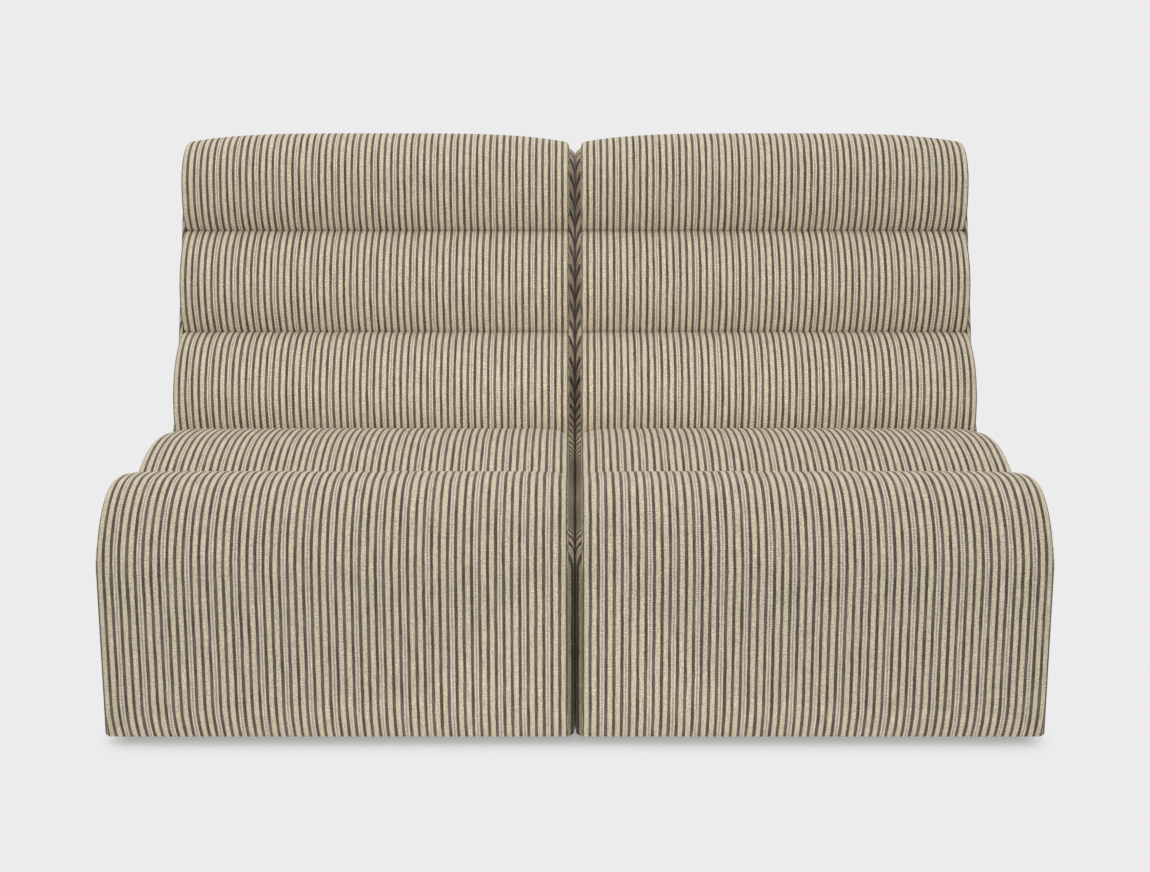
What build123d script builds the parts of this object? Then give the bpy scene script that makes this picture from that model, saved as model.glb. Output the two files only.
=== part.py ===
"""Two-seater sofa of two equal armless modules, each upholstered in five channel rolls.

Units are millimetres. +Z is up, the front faces -Y, and +X is to the right seen from the
front. The origin lies on the floor under the centre of the sofa. Side outlines are drawn in
(depth, height): depth runs back from the front face, height runs up from the floor.
"""
import os
from math import cos, hypot, radians, sqrt, tan

from build123d import *

# Module widths
FACE_WIDTH = 779.0          # rolls, from end to end
SIDE_BULGE = 12.0           # padded side panel, outside the roll ends
MODULE_GAP = 2.0            # between the two inner side panels

# Seat rolls
SEAT_HEIGHT = 441.0         # crest of the seat rolls
FRONT_ROLL_DEPTH = 303.0    # front face to the crease between the seat rolls
REAR_ROLL_DEPTH = 331.0     # that crease to the crease under the back
REAR_ROLL_CREST = 153.0     # crest of the rear roll behind its front crease
FRONT_CORNER_R = 140.0      # round of the front top corner
SEAT_CREASE_DROP = 37.0     # crease between the seat rolls, below the crest
BACK_CREASE_DROP = 21.0     # crease between seat and back, below the crest
HEM_TUCK_R = 122.0          # round that draws the front in at the floor
HEM_TUCK_RISE = 80.0        # height of that round

# Back rolls
LOWER_ROLL_RUN = 116.0      # backwards, from crease to crease
LOWER_ROLL_RISE = 175.0     # upwards, from crease to crease
LOWER_ROLL_BULGE = 61.0     # roll in front of the line between its creases
MIDDLE_ROLL_RUN = 70.0
MIDDLE_ROLL_RISE = 198.0
MIDDLE_ROLL_BULGE = 57.0
UPPER_ROLL_FRONT = 26.5     # front of the upper roll ahead of its crease
UPPER_ROLL_DEPTH = 186.5    # front to rear of the upper roll
UPPER_ROLL_LOWER_RISE = 64.0    # crease to the widest part
UPPER_ROLL_FLAT = 31.0      # upright stretch at the widest part
REAR_LEAN_DEG = 5.4         # rear face leans forwards towards the floor

# Crown: how much the rolls are drawn in at their seams
ROLL_CROWN = 5.0
UPPER_ROLL_CROWN = 15.0
CROWN_STATIONS = (0.0, 0.55, 0.85, 1.0)     # shares of the half width
CROWN_POWER = 4

# Cover and padding
COVER_T = 2.0               # ticking with its thin fleece
COVER_CLEARANCE = 0.3       # cover to foam
CREASE_EASE = 2.0           # foam starts this many cover thicknesses below a crease
SEAT_FOAM_T = 155.0         # under the crest
FRONT_FOAM_T = 50.0
BACK_FOAM_ROOT = 75.0       # back plane behind the seat crease, at the deck
BACK_FOAM_HEAD = 90.0       # back plane behind the upper crease, at the top rail
INSULATOR_T = 6.0
SIDE_FRONT_INSET = 32.0     # side panel behind the front roll's face
SIDE_SEAT_DROP = 60.0       # below the crest of the seat rolls
SIDE_BACK_LEAD = 21.5       # ahead of the creases of the back
SIDE_TOP_DROP = 16.0        # below the upper roll's ends
SIDE_FRONT_R = 60.0         # rounds of its outline
SIDE_SEAT_R = 150.0
SIDE_TOP_FRONT_R = 45.0
SIDE_TOP_REAR_R = 60.0
SIDE_EDGE_R = 10.0
REAR_PANEL_T = 10.0
REAR_EDGE_R = 6.0
DUST_COVER_T = 1.0

# Frame
PLY_T = 18.0
RAIL_T = 25.0
RAIL_HEIGHT = 70.0
FASCIA_T = 4.0
STRETCHER_T = 25.0
STRETCHER_HEIGHT = 50.0
STRETCHER_SPACING = 260.0
BLOCK_WIDTH = 60.0
BLOCK_DEPTH = 120.0
BLOCK_HEIGHT = 40.0

# Suspension
SPRING_COUNT = 5
SPRING_SPACING = 125.0
SPRING_WIRE_D = 4.0
SPRING_WIDTH = 44.0
SPRING_STEPS = 15
SPRING_BEND_SHARE = 0.42    # bend radius as a share of one step
CLIP_T = 1.6
CLIP_LENGTH = 16.0
CLIP_CLEARANCE = 0.3
CLIP_END_GAP = 4.0          # free wire end outside the clip
WEB_T = 2.0
WEB_WIDTH = 60.0
WEB_COUNT = 6

# Glides and fasteners
GLIDE_HEIGHT = 12.0
GLIDE_D = 44.0
GLIDE_FOOT_D = 36.0
GLIDE_WELL = 6.0            # screw head's depth inside the glide
GLIDE_INSET = 30.0          # from the front of a corner block to the glide's centre
SCREW_D = 5.0
SCREW_HEAD_D = 9.0
SCREW_HEAD_T = 3.0
FRAME_SCREW_LENGTH = 50.0
GLIDE_SCREW_LENGTH = 32.0
SCREW_CLEARANCE = 0.1
SCREW_SPREAD = 36.0         # between the two screws of a rail end

# Push-together connectors
CONNECTOR_INSET = 90.0      # from the front of a corner block to the connector's centre
CONNECTOR_WIDTH = 40.0
CONNECTOR_ROOT = 64.0       # plate length under the block and the gable
CONNECTOR_PLATE_T = 2.0
BLADE_T = 2.5
BLADE_WIDTH = 30.0
BLADE_LAP = 15.0            # blade under its own plate
BLADE_REACH = 52.0          # into the clip, past the neighbour's seam
JAW_CLEARANCE = 0.5         # blade in the clip, both sides together
CONNECTOR_SCREW_D = 4.0
CONNECTOR_SCREW_HEAD_D = 7.0
CONNECTOR_SCREW_HEAD_T = 1.5
CONNECTOR_SCREW_LENGTH = 25.0
CONNECTOR_SCREW_INSETS = (27.0, 51.0)       # from the seam

# Values that follow
HALF_FACE = FACE_WIDTH / 2
INNER_X = HALF_FACE - PLY_T
MODULE_WIDTH = FACE_WIDTH + 2 * SIDE_BULGE
MODULE_SHIFT = (MODULE_WIDTH + MODULE_GAP) / 2
HEM_Z = GLIDE_HEIGHT
HEM_TUCK = HEM_TUCK_R - sqrt(HEM_TUCK_R**2 - HEM_TUCK_RISE**2)
FRAME_Z = GLIDE_HEIGHT + DUST_COVER_T
FRAME_FRONT = FRONT_FOAM_T + FASCIA_T
DECK_Z = SEAT_HEIGHT - SEAT_FOAM_T
FRAME_SEAT_Z = DECK_Z - INSULATOR_T
CLIP_SLOT = SPRING_WIRE_D + 2 * CLIP_CLEARANCE
CLIP_HEIGHT = CLIP_SLOT + 2 * CLIP_T
SEAT_RAIL_Z = FRAME_SEAT_Z - CLIP_HEIGHT
SPRING_Z = SEAT_RAIL_Z + CLIP_HEIGHT / 2
UPPER_ROLL_R = UPPER_ROLL_DEPTH / 2

# Crease lines, where two rolls meet
CREASE_SEAT = (FRONT_ROLL_DEPTH, SEAT_HEIGHT - SEAT_CREASE_DROP)
CREASE_BACK = (FRONT_ROLL_DEPTH + REAR_ROLL_DEPTH, SEAT_HEIGHT - BACK_CREASE_DROP)
CREASE_LUMBAR = (CREASE_BACK[0] + LOWER_ROLL_RUN, CREASE_BACK[1] + LOWER_ROLL_RISE)
CREASE_SHOULDER = (CREASE_LUMBAR[0] + MIDDLE_ROLL_RUN, CREASE_LUMBAR[1] + MIDDLE_ROLL_RISE)
UPPER_FRONT = CREASE_SHOULDER[0] - UPPER_ROLL_FRONT
TOP_RAIL_Z = CREASE_SHOULDER[1] + UPPER_ROLL_LOWER_RISE
DEPTH = UPPER_FRONT + UPPER_ROLL_DEPTH

# Back plane, which the back foam leans on
BACK_LOW = (CREASE_BACK[0] + BACK_FOAM_ROOT, DECK_Z)
BACK_HIGH = (CREASE_SHOULDER[0] + BACK_FOAM_HEAD, TOP_RAIL_Z)
BACK_RUN = hypot(BACK_HIGH[0] - BACK_LOW[0], BACK_HIGH[1] - BACK_LOW[1])

LEVEL = (1, 0)
CENTRED_ON_BASE = (Align.CENTER, Align.CENTER, Align.MIN)


def toward(start, end):
    """Unit direction from one point of a side outline to another."""
    length = hypot(end[0] - start[0], end[1] - start[1])
    return ((end[0] - start[0]) / length, (end[1] - start[1]) / length)


def shift(point, direction, distance):
    return (point[0] + direction[0] * distance, point[1] + direction[1] * distance)


def meet(a, a_dir, b, b_dir):
    """Point where the line through a meets the line through b."""
    cross = a_dir[0] * b_dir[1] - a_dir[1] * b_dir[0]
    along = ((b[0] - a[0]) * b_dir[1] - (b[1] - a[1]) * b_dir[0]) / cross
    return shift(a, a_dir, along)


BACK_UP = toward(BACK_LOW, BACK_HIGH)
BACK_REARWARD = (BACK_UP[1], -BACK_UP[0])


def back_plane_at(height, behind=0.0):
    """Point of the back plane, or of a plane behind it, at a height."""
    return meet(shift(BACK_LOW, BACK_REARWARD, behind), BACK_UP, (0, height), LEVEL)


def back_root(crease):
    """Foot of a back crease on the back plane."""
    return meet(BACK_LOW, BACK_UP, crease, BACK_REARWARD)


def rear_depth(height):
    """Depth of the rear face of the outside back panel."""
    return DEPTH - (TOP_RAIL_Z - height) * tan(radians(REAR_LEAN_DEG))


def rear_frame_depth(height):
    return rear_depth(height) - REAR_PANEL_T / cos(radians(REAR_LEAN_DEG))


# Roots, where the cover is held down under each crease
ROOT_SEAT = (FRONT_ROLL_DEPTH, DECK_Z)
ROOT_BACK = BACK_LOW
ROOT_LUMBAR = back_root(CREASE_LUMBAR)
ROOT_SHOULDER = back_root(CREASE_SHOULDER)


def crease_side(crease, root, turn, inset):
    """Start and direction of a roll's flank; turn is 1 in front of or below the crease, else -1."""
    down = toward(crease, root)
    into = (down[1] * turn, -down[0] * turn)
    start = shift(shift(crease, into, inset), down, inset * CREASE_EASE)
    return start, down


def chain(points):
    return [Line(a, b) for a, b in zip(points[:-1], points[1:])]


# Shown outlines of the rolls. crown draws a roll in, and inset is the layer left outside it.


def front_seat_curve(crown, inset, end):
    """From the hem up the front and over to the seat crease."""
    face = crown + inset
    hem = (HEM_TUCK + inset, HEM_Z)
    tuck_top = (face, HEM_Z + HEM_TUCK_RISE)
    round_start = (face, SEAT_HEIGHT - crown - FRONT_CORNER_R)
    crest = (FRONT_CORNER_R + crown, SEAT_HEIGHT - face)
    return [
        TangentArc(tuck_top, hem, tangent=(0, -1)),
        Line(tuck_top, round_start),
        TangentArc(round_start, crest, tangent=(0, 1)),
        TangentArc(crest, end, tangent=(1, 0)),
    ]


def rear_seat_curve(crown, inset, start, end):
    """From the seat crease over the crest to the back crease."""
    crest = (FRONT_ROLL_DEPTH + REAR_ROLL_CREST, SEAT_HEIGHT - crown - inset)
    return [
        TangentArc(crest, start, tangent=(-1, 0)),
        TangentArc(crest, end, tangent=(1, 0)),
    ]


def back_curve(low, high, bulge, start, end):
    """One arc that stands out by bulge from the line between its two creases."""
    along = toward(low, high)
    middle = ((low[0] + high[0]) / 2, (low[1] + high[1]) / 2)
    return [ThreePointArc(start, shift(middle, (-along[1], along[0]), bulge), end)]


def upper_back_curve(crown, inset, start):
    """From the shoulder crease over the top and down to the outside back."""
    front = UPPER_FRONT + inset
    rear = DEPTH - inset
    round_z = TOP_RAIL_Z + UPPER_ROLL_FLAT - crown
    top = (UPPER_FRONT + UPPER_ROLL_R, round_z + UPPER_ROLL_R - inset)
    return [
        TangentArc((front, TOP_RAIL_Z), start, tangent=(0, -1)),
        Line((front, TOP_RAIL_Z), (front, round_z)),
        TangentArc((front, round_z), top, tangent=(0, 1)),
        TangentArc(top, (rear, round_z), tangent=(1, 0)),
        Line((rear, round_z), (rear, TOP_RAIL_Z)),
    ]


# Closed roll sections. past carries the hidden sides on, for cutting the cover open there.


def front_seat_section(seam, inset, past):
    end, _ = crease_side(CREASE_SEAT, ROOT_SEAT, 1, inset)
    curve = front_seat_curve(seam * ROLL_CROWN, inset, end)
    deck = DECK_Z - past
    board = FRONT_FOAM_T + past
    hem = HEM_Z - past
    corners = [end, (end[0], deck), (board, deck), (board, hem), (HEM_TUCK + inset, hem)]
    if past:
        corners.append((HEM_TUCK + inset, HEM_Z))
    return curve + chain(corners)


def rear_seat_section(seam, inset, past):
    start, _ = crease_side(CREASE_SEAT, ROOT_SEAT, -1, inset)
    end, down = crease_side(CREASE_BACK, ROOT_BACK, 1, inset)
    deck = DECK_Z - past
    heel = meet(end, down, (0, deck), LEVEL)
    curve = rear_seat_curve(seam * ROLL_CROWN, inset, start, end)
    return curve + chain([end, heel, (start[0], deck), start])


def back_section(low, low_root, high, high_root, bulge, inset, past):
    start, start_down = crease_side(low, low_root, -1, inset)
    end, end_down = crease_side(high, high_root, 1, inset)
    plane = shift(BACK_LOW, BACK_REARWARD, past)
    foot = meet(start, start_down, plane, BACK_UP)
    head = meet(end, end_down, plane, BACK_UP)
    return back_curve(low, high, bulge - inset, start, end) + chain([end, head, foot, start])


def lower_back_section(seam, inset, past):
    bulge = LOWER_ROLL_BULGE - seam * ROLL_CROWN
    return back_section(CREASE_BACK, ROOT_BACK, CREASE_LUMBAR, ROOT_LUMBAR, bulge, inset, past)


def middle_back_section(seam, inset, past):
    bulge = MIDDLE_ROLL_BULGE - seam * ROLL_CROWN
    return back_section(CREASE_LUMBAR, ROOT_LUMBAR, CREASE_SHOULDER, ROOT_SHOULDER, bulge, inset, past)


def upper_back_section(seam, inset, past):
    start, down = crease_side(CREASE_SHOULDER, ROOT_SHOULDER, -1, inset)
    curve = upper_back_curve(seam * UPPER_ROLL_CROWN, inset, start)
    rail = TOP_RAIL_Z - past
    foot = meet(start, down, shift(BACK_LOW, BACK_REARWARD, past), BACK_UP)
    corners = [(DEPTH - inset, rail), back_plane_at(rail, past), foot, start]
    if past:
        corners.insert(0, (DEPTH - inset, TOP_RAIL_Z))
    return curve + chain(corners)


ROLL_SECTIONS = {
    "front_seat": front_seat_section,
    "rear_seat": rear_seat_section,
    "lower_back": lower_back_section,
    "middle_back": middle_back_section,
    "upper_back": upper_back_section,
}


def outline_face(edges, x):
    """Face across the module at x, from edges drawn in (depth, height)."""
    return Plane.YZ.offset(x) * make_face(Wire.combine(edges)[0])


def crowned_roll(section, inset, past=0.0):
    """Roll from end to end, full in the middle and drawn in towards its ends."""
    stations = sorted({side * share for share in CROWN_STATIONS for side in (-1, 1)})
    faces = []
    for share in stations:
        seam = abs(share) ** CROWN_POWER
        faces.append(outline_face(section(seam, inset, past), share * (HALF_FACE - inset)))
    return loft(faces)


def across(corners, x_from, x_to):
    """Straight bar across the module with the given (depth, height) corners."""
    edges = chain(corners + corners[:1])
    return extrude(outline_face(edges, x_from), x_to - x_from, dir=(1, 0, 0))


def about(middle, width):
    """Range of the given width about a middle."""
    return (middle - width / 2, middle + width / 2)


def block(xs, depths, zs):
    """Box between two values of x, of depth and of height."""
    size = Box(xs[1] - xs[0], depths[1] - depths[0], zs[1] - zs[0], align=Align.MIN)
    return Pos(xs[0], depths[0], zs[0]) * size


def screw(length, shank_d, head_d, head_t, grow):
    """Screw that points up, with the top of its head at 0."""
    head = Cylinder(head_d / 2 + grow, head_t, align=CENTRED_ON_BASE)
    shank = Cylinder(shank_d / 2 + grow, length, align=CENTRED_ON_BASE)
    return head + shank


def drilled(solid, fasteners):
    """Solid with the holes of the fasteners that reach it."""
    box = solid.bounding_box()
    near = [piece for piece in fasteners if piece.bounding_box().overlaps(box)]
    return solid - near if near else solid


# Frame


def rail_corners(rear, z_low):
    """Upright rail whose rear face is at the given depth."""
    z_high = z_low + RAIL_HEIGHT
    return [(rear - RAIL_T, z_low), (rear, z_low), (rear, z_high), (rear - RAIL_T, z_high)]


RAIL_SEAT_LOW = SEAT_RAIL_Z - RAIL_HEIGHT
RAIL_TOP_LOW = TOP_RAIL_Z - RAIL_HEIGHT
RAILS = {
    "front_base_rail": rail_corners(FRAME_FRONT + RAIL_T, FRAME_Z),
    "rear_base_rail": rail_corners(rear_frame_depth(FRAME_Z), FRAME_Z),
    "seat_front_rail": rail_corners(FRAME_FRONT + RAIL_T, RAIL_SEAT_LOW),
    "seat_rear_rail": rail_corners(BACK_LOW[0], RAIL_SEAT_LOW),
    "back_top_rail": rail_corners(rear_frame_depth(RAIL_TOP_LOW), RAIL_TOP_LOW),
}
REAR_RAIL_FRONT = RAILS["rear_base_rail"][0][0]
BLOCK_FRONTS = (FRAME_FRONT + RAIL_T, REAR_RAIL_FRONT - BLOCK_DEPTH)
BLOCK_X = INNER_X - BLOCK_WIDTH / 2
CONNECTOR_DEPTHS = [front + CONNECTOR_INSET for front in BLOCK_FRONTS]


def rail_middle(name):
    low, _, high, _ = RAILS[name]
    return (low[0] + high[0]) / 2, (low[1] + high[1]) / 2


def gable(x_from):
    """Plywood side frame, under the deck and behind the back webbing."""
    corners = [
        (FRAME_FRONT, FRAME_Z),
        (FRAME_FRONT, FRAME_SEAT_Z),
        back_plane_at(FRAME_SEAT_Z, WEB_T),
        back_plane_at(TOP_RAIL_Z, WEB_T),
        (rear_frame_depth(TOP_RAIL_Z), TOP_RAIL_Z),
        (rear_frame_depth(FRAME_Z), FRAME_Z),
    ]
    return across(corners, x_from, x_from + PLY_T)


def corner_blocks():
    """Blocks in the four corners between the base rails and the gables."""
    zs = (FRAME_Z, FRAME_Z + BLOCK_HEIGHT)
    blocks = []
    for side in (-1, 1):
        for front in BLOCK_FRONTS:
            blocks.append(block(about(side * BLOCK_X, BLOCK_WIDTH), (front, front + BLOCK_DEPTH), zs))
    return blocks


def base_stretchers():
    """Two bars on edge, from the front base rail to the rear one."""
    depths = (FRAME_FRONT + RAIL_T, REAR_RAIL_FRONT)
    zs = (FRAME_Z, FRAME_Z + STRETCHER_HEIGHT)
    xs = about(0, STRETCHER_SPACING)
    return [block(about(x, STRETCHER_T), depths, zs) for x in xs]


# Fasteners


def frame_screws(grow=0.0):
    """Screws through both gables into the ends of every rail."""
    pieces = []
    for name in RAILS:
        depth, middle = rail_middle(name)
        for side in (-1, 1):
            for height in (middle - SCREW_SPREAD / 2, middle + SCREW_SPREAD / 2):
                piece = screw(FRAME_SCREW_LENGTH, SCREW_D, SCREW_HEAD_D, SCREW_HEAD_T, grow)
                pieces.append(Pos(side * HALF_FACE, depth, height) * Rot(0, -side * 90, 0) * piece)
    return pieces


def glide_places():
    return [(side * BLOCK_X, front + GLIDE_INSET) for side in (-1, 1) for front in BLOCK_FRONTS]


def glide_screws(grow=0.0):
    """Screws up through the glides into the corner blocks."""
    piece = screw(GLIDE_SCREW_LENGTH, SCREW_D, SCREW_HEAD_D, SCREW_HEAD_T, grow)
    return [Pos(x, depth, GLIDE_WELL) * piece for x, depth in glide_places()]


def connector_screws(side, plate_t, grow=0.0):
    """Screws up through the connector plates into the corner blocks on one side."""
    head = (CONNECTOR_SCREW_HEAD_D, CONNECTOR_SCREW_HEAD_T)
    piece = screw(CONNECTOR_SCREW_LENGTH, CONNECTOR_SCREW_D, *head, grow)
    pieces = []
    for inset in CONNECTOR_SCREW_INSETS:
        for depth in CONNECTOR_DEPTHS:
            pieces.append(Pos(side * (HALF_FACE - inset), depth, HEM_Z - plate_t) * piece)
    return pieces


# Upholstery


def cover_strip(section):
    """Ticking over one roll, down its creases and over its ends, open towards the frame."""
    hidden_reach = 2 * COVER_T
    return crowned_roll(section, 0.0) - crowned_roll(section, COVER_T, hidden_reach)


def side_panel():
    """Padded end panel at +X, a smooth board that the rolls stand out from all round."""
    seat_z = SEAT_HEIGHT - SIDE_SEAT_DROP
    top_z = TOP_RAIL_Z + UPPER_ROLL_FLAT - UPPER_ROLL_CROWN + UPPER_ROLL_R - SIDE_TOP_DROP
    lumbar = (CREASE_LUMBAR[0] - SIDE_BACK_LEAD, CREASE_LUMBAR[1])
    up_back = toward(CREASE_LUMBAR, CREASE_SHOULDER)
    rear = rear_frame_depth(TOP_RAIL_Z)
    rounded = {
        (SIDE_FRONT_INSET, seat_z): SIDE_FRONT_R,
        meet(lumbar, up_back, (0, seat_z), LEVEL): SIDE_SEAT_R,
        meet(lumbar, up_back, (0, top_z), LEVEL): SIDE_TOP_FRONT_R,
        (rear, top_z): SIDE_TOP_REAR_R,
    }
    corners = [(SIDE_FRONT_INSET, HEM_Z), *rounded, (rear, TOP_RAIL_Z), (rear_frame_depth(HEM_Z), HEM_Z)]
    flat = make_face(Wire.combine(chain(corners + corners[:1]))[0])
    for corner, radius in rounded.items():
        flat = fillet(min(flat.vertices(), key=lambda v: hypot(v.X - corner[0], v.Y - corner[1])), radius)
    panel = extrude(Plane.YZ.offset(HALF_FACE) * flat, SIDE_BULGE, dir=(1, 0, 0))
    rim = panel.faces().sort_by(Axis.X)[-1].edges()
    return fillet(rim, SIDE_EDGE_R)


def outside_back():
    """Padded panel on the rear, from the hem to the upper roll."""
    corners = [
        (rear_frame_depth(HEM_Z), HEM_Z),
        (rear_depth(HEM_Z), HEM_Z),
        (DEPTH, TOP_RAIL_Z),
        (rear_frame_depth(TOP_RAIL_Z), TOP_RAIL_Z),
    ]
    panel = across(corners, -HALF_FACE, HALF_FACE)
    uprights = panel.faces().sort_by(Axis.Y)[-1].edges().filter_by(Axis.X, reverse=True)
    return fillet(uprights, REAR_EDGE_R)


# Suspension


def sinuous_spring():
    """One flat serpentine wire, from the front end bar to the rear end bar."""
    front, _ = rail_middle("seat_front_rail")
    rear, _ = rail_middle("seat_rear_rail")
    step = (rear - front) / SPRING_STEPS
    points = []
    for i in range(SPRING_STEPS + 1):
        side = 1 if i % 2 == 0 else -1
        depth = front + i * step
        points.append((-side * SPRING_WIDTH / 2, depth, SPRING_Z))
        points.append((side * SPRING_WIDTH / 2, depth, SPRING_Z))
    path = FilletPolyline(*points, radius=step * SPRING_BEND_SHARE)
    return sweep(Plane(path @ 0, z_dir=path % 0) * Circle(SPRING_WIRE_D / 2), path)


def spring_clip():
    """Steel clip round a spring's end bar, open backwards."""
    outer = block(about(0, CLIP_LENGTH), about(0, CLIP_HEIGHT), (0, CLIP_HEIGHT))
    slot = block(about(0, 2 * CLIP_LENGTH), (-CLIP_SLOT / 2, CLIP_HEIGHT), (CLIP_T, CLIP_T + CLIP_SLOT))
    return outer - slot


def spring_xs():
    return [(i - (SPRING_COUNT - 1) / 2) * SPRING_SPACING for i in range(SPRING_COUNT)]


def spring_clips():
    """A clip at the free end of each end bar; the rear ones open forwards."""
    free_end = -SPRING_WIDTH / 2 + CLIP_END_GAP + CLIP_LENGTH / 2
    last_side = 1 if SPRING_STEPS % 2 else -1
    clips = []
    for x in spring_xs():
        front, _ = rail_middle("seat_front_rail")
        rear, _ = rail_middle("seat_rear_rail")
        clips.append(Pos(x + free_end, front, SEAT_RAIL_Z) * spring_clip())
        clips.append(Pos(x + last_side * free_end, rear, SEAT_RAIL_Z) * Rot(0, 0, 180) * spring_clip())
    return clips


def back_webbing():
    """Straps across the back plane, fixed to the front edges of the gables."""
    spare = (BACK_RUN - WEB_COUNT * WEB_WIDTH) / (WEB_COUNT + 1)
    straps = []
    for i in range(WEB_COUNT):
        start = shift(BACK_LOW, BACK_UP, spare + i * (WEB_WIDTH + spare))
        end = shift(start, BACK_UP, WEB_WIDTH)
        corners = [start, end, shift(end, BACK_REARWARD, WEB_T), shift(start, BACK_REARWARD, WEB_T)]
        straps.append(across(corners, -HALF_FACE, HALF_FACE))
    return straps


# Feet and connectors


def glides(fasteners):
    """Low plastic glides with a well for the screw's head."""
    foot = Cone(GLIDE_FOOT_D / 2, GLIDE_D / 2, GLIDE_HEIGHT, align=CENTRED_ON_BASE)
    well = Cylinder(SCREW_HEAD_D / 2 + SCREW_CLEARANCE, GLIDE_WELL, align=CENTRED_ON_BASE)
    return [drilled(Pos(x, depth, 0) * (foot - well), fasteners) for x, depth in glide_places()]


BLADE_PLATE_T = CONNECTOR_PLATE_T + JAW_CLEARANCE / 2
BLADE_TIP = HALF_FACE + 2 * SIDE_BULGE + MODULE_GAP + BLADE_REACH


def connector_blades(fasteners):
    """Stepped steel plates at +X that reach under the neighbour."""
    z_step = HEM_Z - BLADE_PLATE_T
    plates = []
    for depth in CONNECTOR_DEPTHS:
        plate_xs = (HALF_FACE - CONNECTOR_ROOT, HALF_FACE)
        plate = block(plate_xs, about(depth, CONNECTOR_WIDTH), (z_step, HEM_Z))
        blade_xs = (HALF_FACE - BLADE_LAP, BLADE_TIP)
        blade = block(blade_xs, about(depth, BLADE_WIDTH), (z_step - BLADE_T, z_step))
        plates.append(drilled(plate + blade, fasteners))
    return plates


def connector_clips(fasteners):
    """Steel clips at -X that take the neighbour's blades between plate and jaw."""
    z_plate = HEM_Z - CONNECTOR_PLATE_T
    z_jaw = z_plate - BLADE_T - JAW_CLEARANCE
    x_end = -HALF_FACE + CONNECTOR_ROOT
    clips = []
    for depth in CONNECTOR_DEPTHS:
        whole_zs = (z_jaw - CONNECTOR_PLATE_T, HEM_Z)
        whole = block((-HALF_FACE, x_end), about(depth, CONNECTOR_WIDTH), whole_zs)
        slot_xs = (-HALF_FACE - BLADE_REACH, x_end - CONNECTOR_PLATE_T)
        slot = block(slot_xs, about(depth, 2 * CONNECTOR_WIDTH), (z_jaw, z_plate))
        clips.append(drilled(whole - slot, fasteners))
    return clips


def module_pieces(side):
    """Pieces of one module about its own middle; side is -1 for the left one, 1 for the right."""
    joining = -side
    plate_t = BLADE_PLATE_T if side < 0 else CONNECTOR_PLATE_T
    holes = frame_screws(SCREW_CLEARANCE) + glide_screws(SCREW_CLEARANCE)
    holes += connector_screws(joining, plate_t, SCREW_CLEARANCE)
    face_xs = (-HALF_FACE, HALF_FACE)
    base_depths = (FRONT_FOAM_T, rear_frame_depth(HEM_Z))
    deck_depths = (FRONT_FOAM_T, back_plane_at(FRAME_SEAT_Z)[0])
    fascia_depths = (FRONT_FOAM_T, FRAME_FRONT)
    panel = side_panel()
    panels = {1: panel, -1: mirror(panel, Plane.YZ)}
    gables = {1: gable(INNER_X), -1: gable(-HALF_FACE)}
    pieces = {name: [drilled(across(corners, -INNER_X, INNER_X), holes)] for name, corners in RAILS.items()}
    pieces["outer_gable"] = [drilled(gables[side], holes)]
    pieces["inner_gable"] = [drilled(gables[joining], holes)]
    pieces["base_stretchers"] = base_stretchers()
    pieces["corner_blocks"] = [drilled(piece, holes) for piece in corner_blocks()]
    pieces["front_fascia"] = [block(face_xs, fascia_depths, (FRAME_Z, FRAME_SEAT_Z))]
    pieces["frame_screws"] = frame_screws()
    spring = sinuous_spring()
    pieces["seat_springs"] = [Pos(x, 0, 0) * spring for x in spring_xs()]
    pieces["spring_clips"] = spring_clips()
    pieces["seat_insulator"] = [block(face_xs, deck_depths, (FRAME_SEAT_Z, DECK_Z))]
    pieces["back_webbing"] = back_webbing()
    for name, section in ROLL_SECTIONS.items():
        pieces[name + "_foam"] = [crowned_roll(section, COVER_T + COVER_CLEARANCE)]
    pieces["roll_cover"] = [cover_strip(section) for section in ROLL_SECTIONS.values()]
    pieces["outer_side_panel"] = [panels[side]]
    pieces["inner_side_panel"] = [panels[joining]]
    pieces["outside_back"] = [outside_back()]
    pieces["dust_cover"] = [drilled(block(face_xs, base_depths, (HEM_Z, FRAME_Z)), holes)]
    pieces["glides"] = glides(holes)
    pieces["glide_screws"] = glide_screws()
    if side < 0:
        pieces["connector_blades"] = connector_blades(holes)
    else:
        pieces["connector_clips"] = connector_clips(holes)
    pieces["connector_screws"] = connector_screws(joining, plate_t)
    return pieces


os.makedirs("parts", exist_ok=True)
for module, side in (("left", -1), ("right", 1)):
    place = Pos(side * MODULE_SHIFT, -DEPTH / 2, 0)
    for name, solids in module_pieces(side).items():
        placed = [place * solid for solid in solids]
        node = placed[0] if len(placed) == 1 else Compound(children=placed)
        export_step(node, f"parts/{module}_{name}.step")
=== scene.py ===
"""Looks of a two-seater sofa: two armless modules, each in five channel rolls of striped ticking."""

from math import asin, atan2, cos, hypot, radians, sin, tan

import bmesh
import bpy
import numpy as np
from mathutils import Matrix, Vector
from mathutils.geometry import delaunay_2d_cdt


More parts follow.
